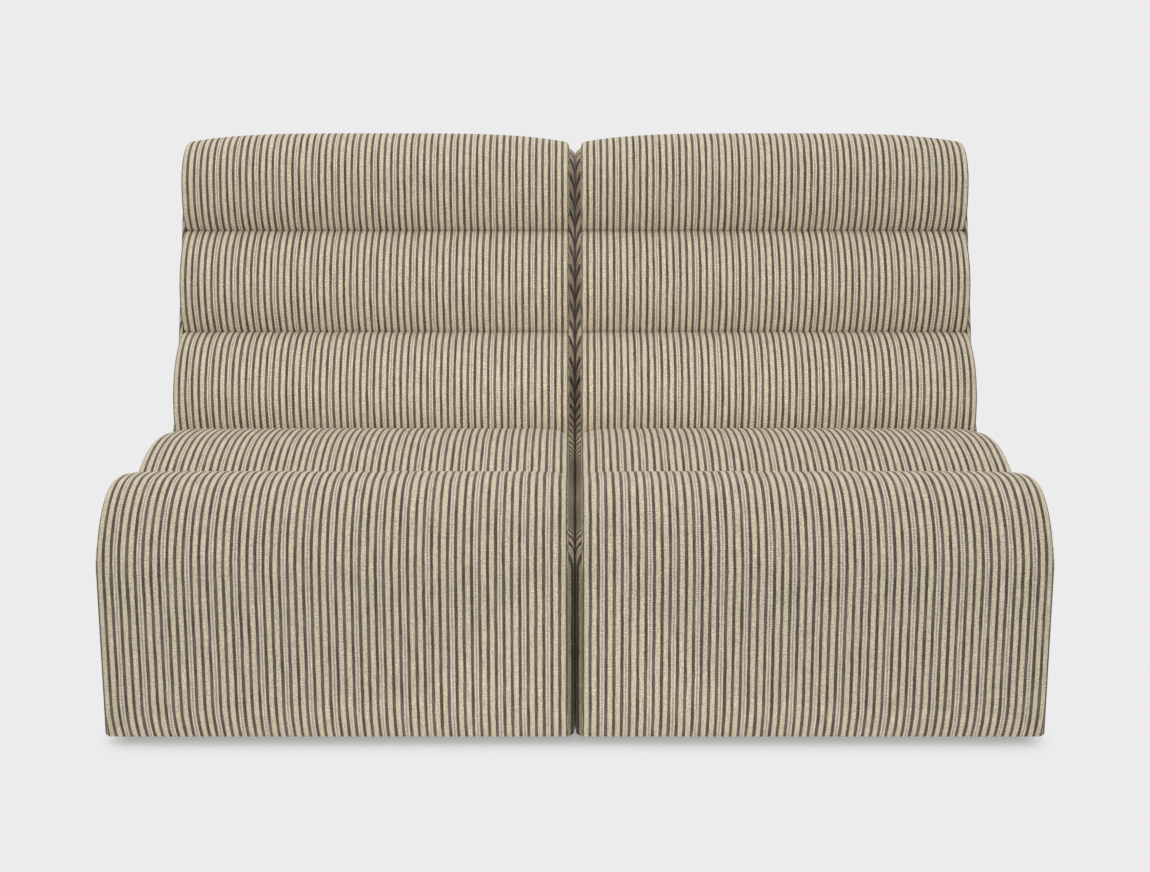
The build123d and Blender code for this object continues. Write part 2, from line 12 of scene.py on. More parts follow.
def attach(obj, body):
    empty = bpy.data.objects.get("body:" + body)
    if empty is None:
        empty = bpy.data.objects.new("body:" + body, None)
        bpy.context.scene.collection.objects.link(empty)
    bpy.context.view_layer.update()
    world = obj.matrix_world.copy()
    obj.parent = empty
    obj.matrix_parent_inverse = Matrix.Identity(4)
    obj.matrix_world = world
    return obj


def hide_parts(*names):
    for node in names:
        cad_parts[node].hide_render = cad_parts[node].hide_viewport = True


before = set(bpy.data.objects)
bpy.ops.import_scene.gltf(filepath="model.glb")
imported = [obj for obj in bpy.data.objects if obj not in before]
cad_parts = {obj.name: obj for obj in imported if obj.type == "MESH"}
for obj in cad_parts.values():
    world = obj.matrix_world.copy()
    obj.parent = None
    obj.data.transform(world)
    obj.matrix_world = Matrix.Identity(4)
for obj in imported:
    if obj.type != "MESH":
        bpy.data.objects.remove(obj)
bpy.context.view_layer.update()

# Sizes in millimetres. Side outlines are (depth behind the front face, height above the floor).
MM = 0.001
HALF_DEPTH = 490.0
HALF_FACE = 389.5
MODULE_SHIFT = 402.5
SIDE_BULGE = {"outer": 10.0, "inner": 11.7}
TOUCH = 1.28                # the two inner side panels all but touch deep between the modules
TOUCH_FROM, TOUCH_RUN = 25.0, 30.0   # distance from the front edge, and the run to that touch
OUTER_SPARE = 2.0           # outer side panels and roll ends stand out a little more
SEAT_HEIGHT = 441.0
FRONT_CORNER_R = 140.0
HEM = (29.9, 12.0)
TUCK_TOP = 92.0
REAR_CREST = 456.0
CREASE_SEAT = (303.0, 404.0)
CREASE_BACK = (634.0, 420.0)
CREASE_LUMBAR = (750.0, 595.0)
CREASE_SHOULDER = (820.0, 793.0)
LOWER_BULGE = 61.0
MIDDLE_BULGE = 57.0
UPPER_FRONT = 793.5
UPPER_REAR = 980.0
UPPER_R = 93.25
UPPER_ROUND_Z = 891.0
TOP_RAIL_Z = 857.0
DECK_Z = 286.0
FOAM_FRONT = 50.0
SIDE_FRONT = 32.0
SIDE_SEAT_Z = 370.0
SIDE_TOP_Z = 953.0
SIDE_BACK_LEAD = 4.0        # side panel ahead of the lumbar crease
SIDE_LEAN = radians(20.35)
SIDE_ROUNDS = (1.0, 66.0, 203.0, 45.0, 52.0, 300.0, 1.0)   # corners, front hem to rear hem
BACK_LOW = (709.0, 286.0)
BACK_HIGH = (910.0, 857.0)
REAR_LEAN = radians(5.4)
REAR_SLOPE = tan(REAR_LEAN)
ROLL_CROWN = 7.0            # how far the end seams draw a roll in
UPPER_CROWN = 18.0
END_RUN = 46.0              # run over which a roll falls away to its end seam
HEM_RUN = 70.0              # run above the hem over which the end seams draw in
# Creases, deeper at the roll ends
SEAT_DIP, BACK_DIP, LUMBAR_DIP, SHOULDER_DIP = 5.0, 14.0, 2.0, 1.0

# Sewing
CREASE_SOFT = 9.0           # round of the cover as it turns down into a crease
CREASE_TUCK = 26.0          # cover below a crease
CREASE_GAP = 0.6
SEAM_R = 6.0                # round of the cover at a roll's ends
SEAM_GAP = 0.3              # a cover ends this far short of its neighbour
END_DOME, END_ONSET = 2.5, 26.0   # padding over a roll's ends
SLACK = 0.2                 # share of the drawn-in form at which the cover starts to fill
EVENED = 16                 # passes that even out the swell between neighbouring points
HELD_FIRST, HELD_LAST = 4, 15   # section points held at its start, and from here past the shown run
SWELL_FRAMES = 20           # steps of the cloth simulation
SIDE_ONSET = 14.0           # round of a side panel's edge
FOOT_ONSET = 2.5            # the same at the hem, which is pulled tight
SIDE_CROWN, SIDE_CROWN_RUN = 0.03, 150.0   # share of the bulge that comes further in
REAR_ONSET = 26.0
REAR_CROWN, REAR_CROWN_RUN = 0.1, 180.0
REAR_PANEL_T = 10.0

# Ticking
STRIPE_PITCH = 13.25
STRIPE_START = 45.3         # first dotted line beside the gap between the modules
SIDE_STRIPE = 6.6           # shift of the stripes on the side panels
DOT_PITCH = 3.87

POINT_STEP = 5.0            # between the points of an outline
FAR_OFF = 200.0             # beyond anything that matters to an outline

MODULES = {"left": -1, "right": 1}


def toward(start, end):
    run = np.subtract(end, start)
    return run / hypot(*run)


BACK_UP = toward(BACK_LOW, BACK_HIGH)
BACK_REARWARD = np.array((BACK_UP[1], -BACK_UP[0]))


def on_back_plane(point):
    """Foot of a point on the plane that the back foam leans on."""
    return np.add(BACK_LOW, BACK_UP * np.dot(np.subtract(point, BACK_LOW), BACK_UP))


def rear_depth(height):
    return UPPER_REAR - (TOP_RAIL_Z - height) * REAR_SLOPE


# Side outlines


def arc(start, tangent, end, count=60):
    """Points of the arc that leaves start along tangent and ends at end."""
    tangent = np.array(tangent, float)
    normal = np.array((-tangent[1], tangent[0]))
    chord = np.subtract(end, start)
    radius = np.dot(chord, chord) / (2 * np.dot(chord, normal))
    sweep = 2 * atan2(np.dot(chord, normal), np.dot(chord, tangent))
    turns = np.linspace(0, sweep, count + 1)[:, None]
    return np.array(start) + radius * (np.sin(turns) * tangent + (1 - np.cos(turns)) * normal)


def bulged(start, end, bulge):
    """Arc between two creases that stands out by bulge from the line between them."""
    along = toward(start, end)
    out = np.array((-along[1], along[0]))
    half = 2 * atan2(2 * bulge, hypot(*np.subtract(end, start)))
    return arc(start, along * cos(half) + out * sin(half), end, 90)


def joined(*runs):
    points = [np.atleast_2d(runs[0])]
    for run in runs[1:]:
        run = np.atleast_2d(run)
        points.append(run[1:] if np.allclose(points[-1][-1], run[0]) else run)
    return np.vstack(points)


def measured(points):
    """Distance of each point along the run."""
    steps = np.hypot(*np.diff(points, axis=0).T)
    return np.concatenate(([0.0], np.cumsum(steps)))


def pick(points, places):
    """Points at the given distances along the run."""
    along = measured(points)
    return np.column_stack([np.interp(places, along, points[:, i]) for i in (0, 1)])


def turned(before, corner, after, count=8):
    """Soft turn from one point to another round a corner."""
    t = np.linspace(0, 1, count + 1)[:, None]
    before, corner, after = (np.array(p, float) for p in (before, corner, after))
    return before * (1 - t) ** 2 + corner * 2 * t * (1 - t) + after * t**2


DOWN = (0.0, -1.0)
INTO_BACK = tuple(toward(CREASE_BACK, BACK_LOW))
INTO_LUMBAR = tuple(toward(CREASE_LUMBAR, on_back_plane(CREASE_LUMBAR)))
INTO_SHOULDER = tuple(toward(CREASE_SHOULDER, on_back_plane(CREASE_SHOULDER)))


def sunk(crease, aim, dip):
    """Crease, deeper by dip."""
    return np.add(crease, np.multiply(aim, dip))


# Shown runs of the rolls. seam is 0 in mid roll and 1 where the end seam has drawn the roll in, and
# end is the same for its creases.


def front_seat_run(seam, end=0.0):
    """From the hem up the front and over to the seat crease."""
    c = seam * ROLL_CROWN
    crest = (FRONT_CORNER_R + c, SEAT_HEIGHT - c)
    shoulder = (c, SEAT_HEIGHT - c - FRONT_CORNER_R)
    return joined(
        arc((c, TUCK_TOP), (0, -1), HEM)[::-1],
        shoulder,
        arc(shoulder, (0, 1), crest),
        arc(crest, (1, 0), sunk(CREASE_SEAT, DOWN, end * SEAT_DIP)),
    )


def rear_seat_run(seam, end=0.0):
    crest = (REAR_CREST, SEAT_HEIGHT - seam * ROLL_CROWN)
    front = arc(crest, (-1, 0), sunk(CREASE_SEAT, DOWN, end * SEAT_DIP))
    return joined(front[::-1], arc(crest, (1, 0), sunk(CREASE_BACK, DOWN, end * BACK_DIP)))


def lower_back_run(seam, end=0.0):
    low = sunk(CREASE_BACK, DOWN, end * BACK_DIP)
    high = sunk(CREASE_LUMBAR, INTO_LUMBAR, end * LUMBAR_DIP)
    return bulged(low, high, LOWER_BULGE - seam * ROLL_CROWN)


def middle_back_run(seam, end=0.0):
    low = sunk(CREASE_LUMBAR, INTO_LUMBAR, end * LUMBAR_DIP)
    high = sunk(CREASE_SHOULDER, INTO_SHOULDER, end * SHOULDER_DIP)
    return bulged(low, high, MIDDLE_BULGE - seam * ROLL_CROWN)


def upper_back_run(seam, end=0.0):
    """From the shoulder crease over the top and down to the outside back."""
    z = UPPER_ROUND_Z - seam * UPPER_CROWN
    top = (UPPER_FRONT + UPPER_R, z + UPPER_R)
    crease = sunk(CREASE_SHOULDER, INTO_SHOULDER, end * SHOULDER_DIP)
    return joined(
        arc((UPPER_FRONT, TOP_RAIL_Z), (0, -1), crease)[::-1],
        (UPPER_FRONT, z),
        arc((UPPER_FRONT, z), (0, 1), top),
        arc(top, (1, 0), (UPPER_REAR, z)),
        (UPPER_REAR, TOP_RAIL_Z),
    )


# Each roll: its shown run, how its cover turns in at both ends (direction, tuck, softness), and the
# hidden corners from the end of the run back to its start.
ROLLS = {
    "front_seat": (
        front_seat_run,
        ((1.0, 0.0), 17.0, 5.0),
        (DOWN, CREASE_TUCK, CREASE_SOFT),
        [(301.8, DECK_Z + 1), (FOAM_FRONT - 1, DECK_Z + 1), (FOAM_FRONT - 1, HEM[1] + 0.5)],
    ),
    "rear_seat": (
        rear_seat_run,
        (DOWN, CREASE_TUCK, CREASE_SOFT),
        (INTO_BACK, CREASE_TUCK, CREASE_SOFT),
        [(705.0, DECK_Z + 1), (304.2, DECK_Z + 1)],
    ),
    "lower_back": (
        lower_back_run,
        (INTO_BACK, CREASE_TUCK, CREASE_SOFT),
        (INTO_LUMBAR, CREASE_TUCK, CREASE_SOFT),
        [on_back_plane(CREASE_LUMBAR) - BACK_UP - BACK_REARWARD, (708.5, 292.0)],
    ),
    "middle_back": (
        middle_back_run,
        (INTO_LUMBAR, CREASE_TUCK, CREASE_SOFT),
        (INTO_SHOULDER, CREASE_TUCK, CREASE_SOFT),
        [
            on_back_plane(CREASE_SHOULDER) - BACK_UP - BACK_REARWARD,
            on_back_plane(CREASE_LUMBAR) + BACK_UP - BACK_REARWARD,
        ],
    ),
    "upper_back": (
        upper_back_run,
        (INTO_SHOULDER, CREASE_TUCK, CREASE_SOFT),
        ((-1.0, 0.0), 20.0, 13.0),
        [(909.0, TOP_RAIL_Z + 1), on_back_plane(CREASE_SHOULDER) + BACK_UP - BACK_REARWARD],
    ),
}


def roll_section(roll, seam, end, count):
    """Closed section of one roll. Its first points are the cover that shows, hem or crease to crease."""
    run, first, last, hidden = ROLLS[roll]
    shown = run(seam, end)
    ends = shown[0], shown[-1]
    shown = pick(shown, np.linspace(first[2], measured(shown)[-1] - last[2], count))

    def tucked(corner, turn, inside):
        aim, tuck, soft = turn
        gap = (inside - corner) / hypot(*(inside - corner)) * CREASE_GAP
        return [corner + gap + np.array(aim) * reach for reach in (soft, (soft + tuck) / 2, tuck)]

    start = tucked(ends[0], first, shown[0])
    stop = tucked(ends[1], last, shown[-1])
    return joined(
        np.array(start[::-1]),
        turned(start[0], ends[0], shown[0]),
        shown,
        turned(shown[-1], ends[1], stop[0]),
        np.array(stop),
        np.array(hidden),
    )


def across_places(half, soft, spacing):
    """Places from seam to seam, close together where the cover rounds over at its ends."""
    near = half - soft * np.array([0, 0.06, 0.2, 0.42, 0.7, 1.0, 1.8, 3.2])
    middle = np.linspace(-near[-1], near[-1], int(2 * near[-1] / spacing) + 2)
    return np.concatenate((-near[:-1], middle, near[:-1][::-1]))


def drawn_in(section, amount):
    """Section moved inwards by amount, but not at the hem, whose corners stay square."""
    ahead = np.roll(section, -1, axis=0) - np.roll(section, 1, axis=0)
    ahead /= np.hypot(*ahead.T)[:, None]
    share = np.clip((section[:, 1] - HEM[1]) / HEM_RUN, 0, 1)[:, None]
    return section + np.column_stack((ahead[:, 1], -ahead[:, 0])) * amount * share


# Meshes


def placed(module, x, depth, height):
    """Points of a module, about its own middle, in the shared frame."""
    x = np.asarray(x, float) + MODULES[module] * MODULE_SHIFT
    y = np.asarray(depth, float) - HALF_DEPTH
    return np.column_stack(np.broadcast_arrays(x, y, np.asarray(height, float))).reshape(-1, 3) * MM


def new_piece(name, points, faces, weave=None, ends=None):
    """Mesh object at the origin. weave is each point's place on the cloth, across and along the stripes;
    ends gives the first face of the end pieces and each point's place on their cloth."""
    mesh = bpy.data.meshes.new(name)
    mesh.from_pydata([tuple(p) for p in points], [], [tuple(f) for f in faces])
    skin = bmesh.new()
    skin.from_mesh(mesh)
    bmesh.ops.recalc_face_normals(skin, faces=skin.faces[:])
    skin.to_mesh(mesh)
    skin.free()
    if weave is not None:
        layer = mesh.uv_layers.new(name="weave")
        corner = np.empty(len(mesh.loops), int)
        mesh.loops.foreach_get("vertex_index", corner)
        spots = np.asarray(weave, np.float32)[corner]
        if ends:
            first = mesh.polygons[ends[0]].loop_start
            spots[first:] = np.asarray(ends[1], np.float32)[corner[first:]]
        layer.data.foreach_set("uv", spots.ravel())
    mesh.shade_smooth()
    mesh.set_sharp_from_angle(angle=radians(50))
    piece = bpy.data.objects.new(name, mesh)
    bpy.context.scene.collection.objects.link(piece)
    return piece


def ring_faces(rows, columns, flip=False):
    """Quads between rows of closed rings, and a face on each end."""
    faces = []
    for i in range(rows - 1):
        for j in range(columns):
            k = (j + 1) % columns
            faces.append((i * columns + j, i * columns + k, (i + 1) * columns + k, (i + 1) * columns + j))
    faces.append(tuple(reversed(range(columns))))
    faces.append(tuple(range((rows - 1) * columns, rows * columns)))
    return [tuple(reversed(f)) for f in faces] if flip else faces


def stripe_place(module, x):
    """Place across the stripes, in metres, for a point of a module that faces front or rear."""
    side = MODULES[module]
    return (np.asarray(x) + side * (MODULE_SHIFT - STRIPE_START)) * MM


def gap_to(points, rim):
    """Distance of each point from the closed rim."""
    best = np.full(len(points), 1e9)
    for a, b in zip(rim, np.roll(rim, -1, axis=0)):
        run = b - a
        share = np.clip((points - a) @ run / (run @ run), 0, 1)[:, None]
        best = np.minimum(best, np.hypot(*(points - a - share * run).T))
    return best


def inside(points, rim):
    """Which points lie inside the closed rim."""
    found = np.zeros(len(points), bool)
    for a, b in zip(rim, np.roll(rim, -1, axis=0)):
        crosses = (a[1] > points[:, 1]) != (b[1] > points[:, 1])
        if a[1] != b[1]:
            at = (b[0] - a[0]) * (points[:, 1] - a[1]) / (b[1] - a[1]) + a[0]
            found ^= crosses & (points[:, 0] < at)
    return found


def filled(gap, onset):
    """Share of the full thickness at a distance from the seam."""
    t = np.clip(gap / onset, 0, 1)
    return np.sqrt(1 - (1 - t) ** 2)


RING_SLIP = 0.04            # how far a ring may come nearer to the rim than it should
INNER_TRIANGLES = 1
SAME_POINT = 1e-4


def padded_layout(rim, reaches, inner, spacing):
    """Points of a padded face inside a closed rim, their distance from it, the triangles between them,
    and which points are the rim. Rings lie at the given reaches, then, further in than inner, a grid."""
    ahead = np.roll(rim, -1, axis=0) - np.roll(rim, 1, axis=0)
    ahead /= np.hypot(*ahead.T)[:, None]
    inward = np.column_stack((ahead[:, 1], -ahead[:, 0]))
    points = [rim]
    for reach in reaches:
        ring = rim + inward * reach
        points.append(ring[inside(ring, rim) & (gap_to(ring, rim) > reach - RING_SLIP)])
    low, high = rim.min(axis=0), rim.max(axis=0)
    depths, heights = (np.arange(low[i], high[i], spacing) for i in (0, 1))
    grid = np.array([(d, z) for d in depths for z in heights])
    points.append(grid[inside(grid, rim) & (gap_to(grid, rim) > inner)])
    flat = np.vstack(points)
    count = len(rim)
    edges = [(i, (i + 1) % count) for i in range(count)]
    found = delaunay_2d_cdt([Vector(p) for p in flat], edges, [], INNER_TRIANGLES, SAME_POINT)
    flat = np.array([tuple(v) for v in found[0]])
    order = {k: i for i, first in enumerate(found[3]) for k in first if k < count}
    return flat, gap_to(flat, rim), [tuple(f) for f in found[2]], [order[k] for k in range(count)]


END_RINGS = (1.5, 4.0, 8.0, 14.0, 22.0)
SIDE_RINGS = (0.3, 0.9, 1.9, 3.3, 5.1, 7.3, 9.9, 12.6, 15.6, 20.0, 28.0, 40.0)


def pressed_out(name, slack, full, faces, held, rows):
    """Cover that its filling presses out from slack towards full, by cloth simulation. Held points stay,
    and no point passes full. Points are in millimetres, and lie in rows along the roll."""
    mesh = bpy.data.meshes.new(name)
    mesh.from_pydata([tuple(p * MM) for p in slack], [], faces)
    cloth = bpy.data.objects.new(name, mesh)
    bpy.context.scene.collection.objects.link(cloth)
    pins = cloth.vertex_groups.new(name="held")
    pins.add([int(i) for i in np.nonzero(held)[0]], 1.0, "REPLACE")
    filling = cloth.modifiers.new("filling", "CLOTH")
    ways = filling.settings
    ways.quality = 5
    ways.mass = 0.3
    ways.tension_stiffness = ways.compression_stiffness = 8.0
    ways.shear_stiffness = 4.0
    ways.bending_stiffness = 0.4
    ways.shrink_min = -0.01
    ways.use_pressure = True
    ways.uniform_pressure_force = 4.0
    ways.vertex_group_mass = "held"
    ways.effector_weights.gravity = 0.0
    filling.point_cache.frame_start = 1
    filling.point_cache.frame_end = SWELL_FRAMES
    for step in range(1, SWELL_FRAMES + 1):
        bpy.context.scene.frame_set(step)
    seen = cloth.evaluated_get(bpy.context.evaluated_depsgraph_get())
    moved = np.empty(3 * len(slack))
    seen.data.vertices.foreach_get("co", moved)
    moved = moved.reshape(-1, 3) / MM - slack
    bpy.data.objects.remove(cloth)
    bpy.context.scene.frame_set(1)
    room = full - slack
    reach = np.maximum((room**2).sum(axis=1), 1e-9)
    share = np.clip((moved * room).sum(axis=1) / reach, 0, 1)
    share = share.reshape(rows, -1)
    for _ in range(EVENED):
        ends = np.vstack((share[:1], share, share[-1:]))
        share = (share + ends[:-2] + ends[2:] + np.roll(share, 1, axis=1) + np.roll(share, -1, axis=1)) / 5
    return slack + room * share.reshape(-1, 1)


def roll_shape(roll):
    """Closed, crowned foam roll in its cover, drawn in at its creases and ends, about its module's middle:
    its points, its faces, each point's place on the cloth, and the first face of its ends."""
    count = int(measured(ROLLS[roll][0](0))[-1] / POINT_STEP)
    half = HALF_FACE - SEAM_GAP
    xs = across_places(half, SEAM_R, spacing=11.0)
    along = measured(roll_section(roll, 0.0, 0.0, count))
    slack, full, held, over = [], [], [], []
    for x in xs:
        past = max(0.0, abs(x) - (half - SEAM_R))
        over.append(np.sign(x) * (SEAM_R * asin(min(past / SEAM_R, 1.0)) - past))
        end = max(0.0, (abs(x) - (HALF_FACE - END_RUN)) / END_RUN) ** 2
        seam = 0.2 * (abs(x) / HALF_FACE) ** 4 + 0.8 * end
        if roll == "upper_back":
            seam = (abs(x) / HALF_FACE) ** 4
        for layer, loose in ((slack, SLACK), (full, 0.0)):
            drawn, deep = seam + loose * (1 - seam), end + loose * (1 - end)
            section = roll_section(roll, drawn, deep, count)
            section = drawn_in(section, SEAM_R - (SEAM_R**2 - past**2) ** 0.5)
            layer.append(np.column_stack((np.full(len(section), x), section)))
        # Held: the tucks in the creases, the hidden sides and the end seams
        tucks = np.zeros(len(along), bool)
        tucks[:HELD_FIRST] = tucks[count + HELD_LAST:] = True
        held.append(tucks | (past > 0))
    slack, full, held = np.vstack(slack), np.vstack(full), np.concatenate(held)
    faces = ring_faces(len(xs), len(along), flip=True)
    points = pressed_out(f"{roll}_filling", slack, full, faces, held, len(xs))
    place = points[:, 0] + np.repeat(over, len(along))
    along = np.tile(along, len(xs))

    # Ends, lightly domed
    faces = faces[:-2]
    sides = len(faces)
    ring = len(along) // len(xs)
    for side, first in ((-1, 0), (1, len(points) - ring)):
        outline = points[first:first + ring, 1:]
        flat, gap, triangles, rim = padded_layout(outline, END_RINGS, inner=34.0, spacing=24.0)
        spot = {k: first + i for i, k in enumerate(rim)}
        fresh = [k for k in range(len(flat)) if k not in spot]
        spot.update({k: len(points) + i for i, k in enumerate(fresh)})
        dome = np.full(len(fresh), side * half) + side * END_DOME * filled(gap[fresh], END_ONSET)
        points = np.vstack((points, np.column_stack((dome, flat[fresh]))))
        along = np.concatenate((along, np.zeros(len(fresh))))
        place = np.concatenate((place, np.zeros(len(fresh))))
        faces += [tuple(spot[k] for k in triangle) for triangle in triangles]
    return points, faces, np.column_stack((place, along)), sides


ROLL_SHAPES = {roll: roll_shape(roll) for roll in ROLLS}


def side_weave(points):
    """Place on the cloth of the side panels and roll ends, where the stripes stand upright."""
    return np.column_stack(((points[:, 1] - HALF_DEPTH + SIDE_STRIPE) * MM, points[:, 2] * MM))


def channel_roll(module, roll):
    """One roll of a module, a little wider at its outer end."""
    shape, faces, cloth, sides = ROLL_SHAPES[roll]
    out = MODULES[module]
    spare = out * OUTER_SPARE * (1 + out * shape[:, 0] / HALF_FACE) / 2
    weave = np.column_stack((stripe_place(module, cloth[:, 0] + spare), cloth[:, 1] * MM))
    points = placed(module, shape[:, 0] + spare, *shape.T[1:])
    return new_piece(f"{module}_{roll}_roll", points, faces, weave, (sides, side_weave(shape)))


def rounded_off(before, corner, after, radius):
    """Round of a corner between its two neighbours."""
    back, on = toward(corner, before), toward(corner, after)
    reach = radius / tan(np.arccos(np.dot(back, on)) / 2)
    return arc(corner + back * reach, -back, corner + on * reach, 24)


def side_outline(foot, spare=0.0):
    """Outline of a side panel, a smooth board that the rolls stand out from all round, down to foot.
    With spare it goes on that much further up and back."""
    def on_back_edge(height):
        return CREASE_LUMBAR[0] - SIDE_BACK_LEAD + (height - CREASE_LUMBAR[1]) * tan(SIDE_LEAN), height

    def on_frame_rear(height):
        return rear_depth(height) - REAR_PANEL_T / cos(REAR_LEAN) + 2 * spare

    spots = np.array([
        (SIDE_FRONT, foot),
        (SIDE_FRONT, SIDE_SEAT_Z),
        on_back_edge(SIDE_SEAT_Z),
        on_back_edge(SIDE_TOP_Z + spare),
        (on_frame_rear(TOP_RAIL_Z), SIDE_TOP_Z + spare),
        (on_frame_rear(TOP_RAIL_Z), TOP_RAIL_Z),
        (on_frame_rear(foot), foot),
    ])
    runs = []
    for i, radius in enumerate(SIDE_ROUNDS):
        runs.append(rounded_off(spots[i - 1], spots[i], spots[(i + 1) % len(spots)], radius))
    rim = joined(*runs, runs[0][0])
    length = measured(rim)[-1]
    return pick(rim, np.linspace(0, length, int(length / POINT_STEP))[:-1])


SIDE_LAYOUT = padded_layout(side_outline(HEM[1]), SIDE_RINGS, inner=50.0, spacing=20.0)
# Distances from all edges but the hem, and from those that face the front
SIDE_REACH = gap_to(SIDE_LAYOUT[0], side_outline(HEM[1] - FAR_OFF))
SLOT_REACH = gap_to(SIDE_LAYOUT[0], side_outline(HEM[1] - FAR_OFF, FAR_OFF))


def side_panel(module, which):
    """Padded end panel with a rounded edge, square at the hem."""
    flat, _, triangles, rim = SIDE_LAYOUT
    side = MODULES[module] if which == "outer" else -MODULES[module]
    edge = 1 - (1 - np.clip(SIDE_REACH / SIDE_ONSET, 0, 1)) ** 2
    edge = np.minimum(edge, 1 - (1 - np.clip((flat[:, 1] - HEM[1]) / FOOT_ONSET, 0, 1)) ** 2)
    crown = 1 - SIDE_CROWN + SIDE_CROWN * filled(SIDE_REACH, SIDE_CROWN_RUN)
    bulge = SIDE_BULGE[which] * edge * crown
    if which == "inner":
        bulge += TOUCH * edge * filled(np.maximum(SLOT_REACH - TOUCH_FROM, 0.0), TOUCH_RUN)
    face = HALF_FACE + (OUTER_SPARE if which == "outer" else 0.0)
    shape = np.column_stack((side * (face + bulge), flat))
    faces = triangles + [tuple(rim)]
    return new_piece(f"{module}_{which}_side", placed(module, *shape.T), faces, side_weave(shape))


def outside_back(module):
    """Padded panel on the rear, from the hem to the seam under the upper roll."""
    length = (TOP_RAIL_Z - HEM[1]) / cos(REAR_LEAN)
    xs = across_places(HALF_FACE - SEAM_GAP, SEAM_R, spacing=16.0)
    rises = across_places(length / 2 - SEAM_GAP, SEAM_R, spacing=16.0) + length / 2
    up = np.array((sin(REAR_LEAN), cos(REAR_LEAN)))
    out = np.array((up[1], -up[0]))
    foot = np.array((rear_depth(HEM[1]), HEM[1])) - out * REAR_PANEL_T
    points, weave = [], []
    for x in xs:
        edge = np.minimum(HALF_FACE - abs(x), np.minimum(rises, length - rises))
        crown = (1 - REAR_CROWN) * filled(edge, REAR_ONSET) + REAR_CROWN * filled(edge, REAR_CROWN_RUN)
        bulge = REAR_PANEL_T * crown
        face = foot + rises[:, None] * up + bulge[:, None] * out
        back = foot + rises[::-1, None] * up + SEAM_GAP * out
        section = np.vstack((face, back))
        points.append(placed(module, x, section[:, 0], section[:, 1]))
        along = np.concatenate((rises, rises[::-1])) * MM
        weave.append(np.column_stack((np.full(len(along), stripe_place(module, x)), along)))
    faces = ring_faces(len(xs), points[0].shape[0])
    return new_piece(f"{module}_outside_back_panel", np.vstack(points), faces, np.vstack(weave))


def slab(module, name, xs, depths, top, bottom):
    """Closed thin slab; top and bottom give its heights at (x, depth)."""
    points = []
    for x in xs:
        low = [bottom(x, d) for d in depths]
        high = [top(x, d) for d in depths]
        points.append(placed(module, x, np.concatenate((depths, depths[::-1])), np.array(high + low[::-1])))
    faces = ring_faces(len(xs), 2 * len(depths))
    return new_piece(name, np.vstack(points), faces)


STRETCHERS = (-130.0, 130.0)
BASE_FRONT = 50.0
BASE_REAR = rear_depth(HEM[1]) - REAR_PANEL_T / cos(REAR_LEAN)
GABLE_T = 18.0
FRONT_RAIL, REAR_RAIL = 84.0, 30.0   # depth of the front rail's rear face, and thickness of the rear rail
SHEET_TOP, SHEET_LOW = 12.8, 12.2
SHEET_EDGE = 1.0            # the sheet stops this far inside the frame
SHEET_SAG = 2.6
FELT_TOP, FELT_LOW = DECK_Z - 0.6, DECK_Z - 5.7
FELT_THINNER, FELT_ONSET = 1.6, 14.0
FELT_EDGE, FELT_SOFT = 1.0, 4.0   # the pad stops this far inside the frame, and its rounded edge
FELT_SHORT = 4.0            # ahead of the back webbing
STAPLE_Z = 12.0


def sag(x, depth):
    """Droop of the dust cover in the fields between the stretchers and the rails."""
    edges = (-HALF_FACE + GABLE_T, *STRETCHERS, HALF_FACE - GABLE_T)
    for low, high in zip(edges[:-1], edges[1:]):
        if low < x < high and FRONT_RAIL < depth < BASE_REAR - REAR_RAIL:
            wide = sin(np.pi * (x - low) / (high - low))
            deep = sin(np.pi * (depth - FRONT_RAIL) / (BASE_REAR - REAR_RAIL - FRONT_RAIL))
            return SHEET_SAG * (wide * deep) ** 0.6
    return 0.0


def dust_sheet(module):
    """Thin cloth stretched under the frame, a little slack between the bars."""
    xs = np.linspace(-HALF_FACE + SHEET_EDGE, HALF_FACE - SHEET_EDGE, 64)
    depths = np.linspace(BASE_FRONT + SHEET_EDGE, BASE_REAR - SHEET_EDGE, 70)
    return slab(
        module, f"{module}_dust_sheet", xs, depths,
        lambda x, d: SHEET_TOP - sag(x, d),
        lambda x, d: SHEET_LOW - sag(x, d),
    )


def felt_pad(module):
    """Needled felt between the springs and the seat foam, its edges a little thinner."""
    xs = across_places(HALF_FACE - FELT_EDGE, FELT_SOFT, spacing=20.0)
    rear = (DECK_Z - BACK_LOW[1]) / BACK_UP[1] * BACK_UP[0] + BACK_LOW[0] - FELT_SHORT
    half_deep, middle = (rear - BASE_FRONT) / 2, (rear + BASE_FRONT) / 2
    depths = across_places(half_deep - FELT_EDGE, FELT_SOFT, spacing=20.0) + middle

    def thin(x, d):
        edge = min(HALF_FACE - abs(x), d - BASE_FRONT, rear - d)
        return FELT_THINNER * (1 - filled(np.array(edge), FELT_ONSET))

    def quilt(x, d):
        return 0.25 * (sin(x / 9.0) * sin(d / 11.0) + sin(x / 23.0 + 1.0) * sin(d / 31.0))

    return slab(
        module, f"{module}_felt_pad", xs, depths,
        lambda x, d: FELT_TOP - thin(x, d) + quilt(x, d),
        lambda x, d: FELT_LOW + 0.5 * thin(x, d) + 0.4 * quilt(x, d),
    )


WEB_COUNT = 6
WEB_WIDTH = 60.0


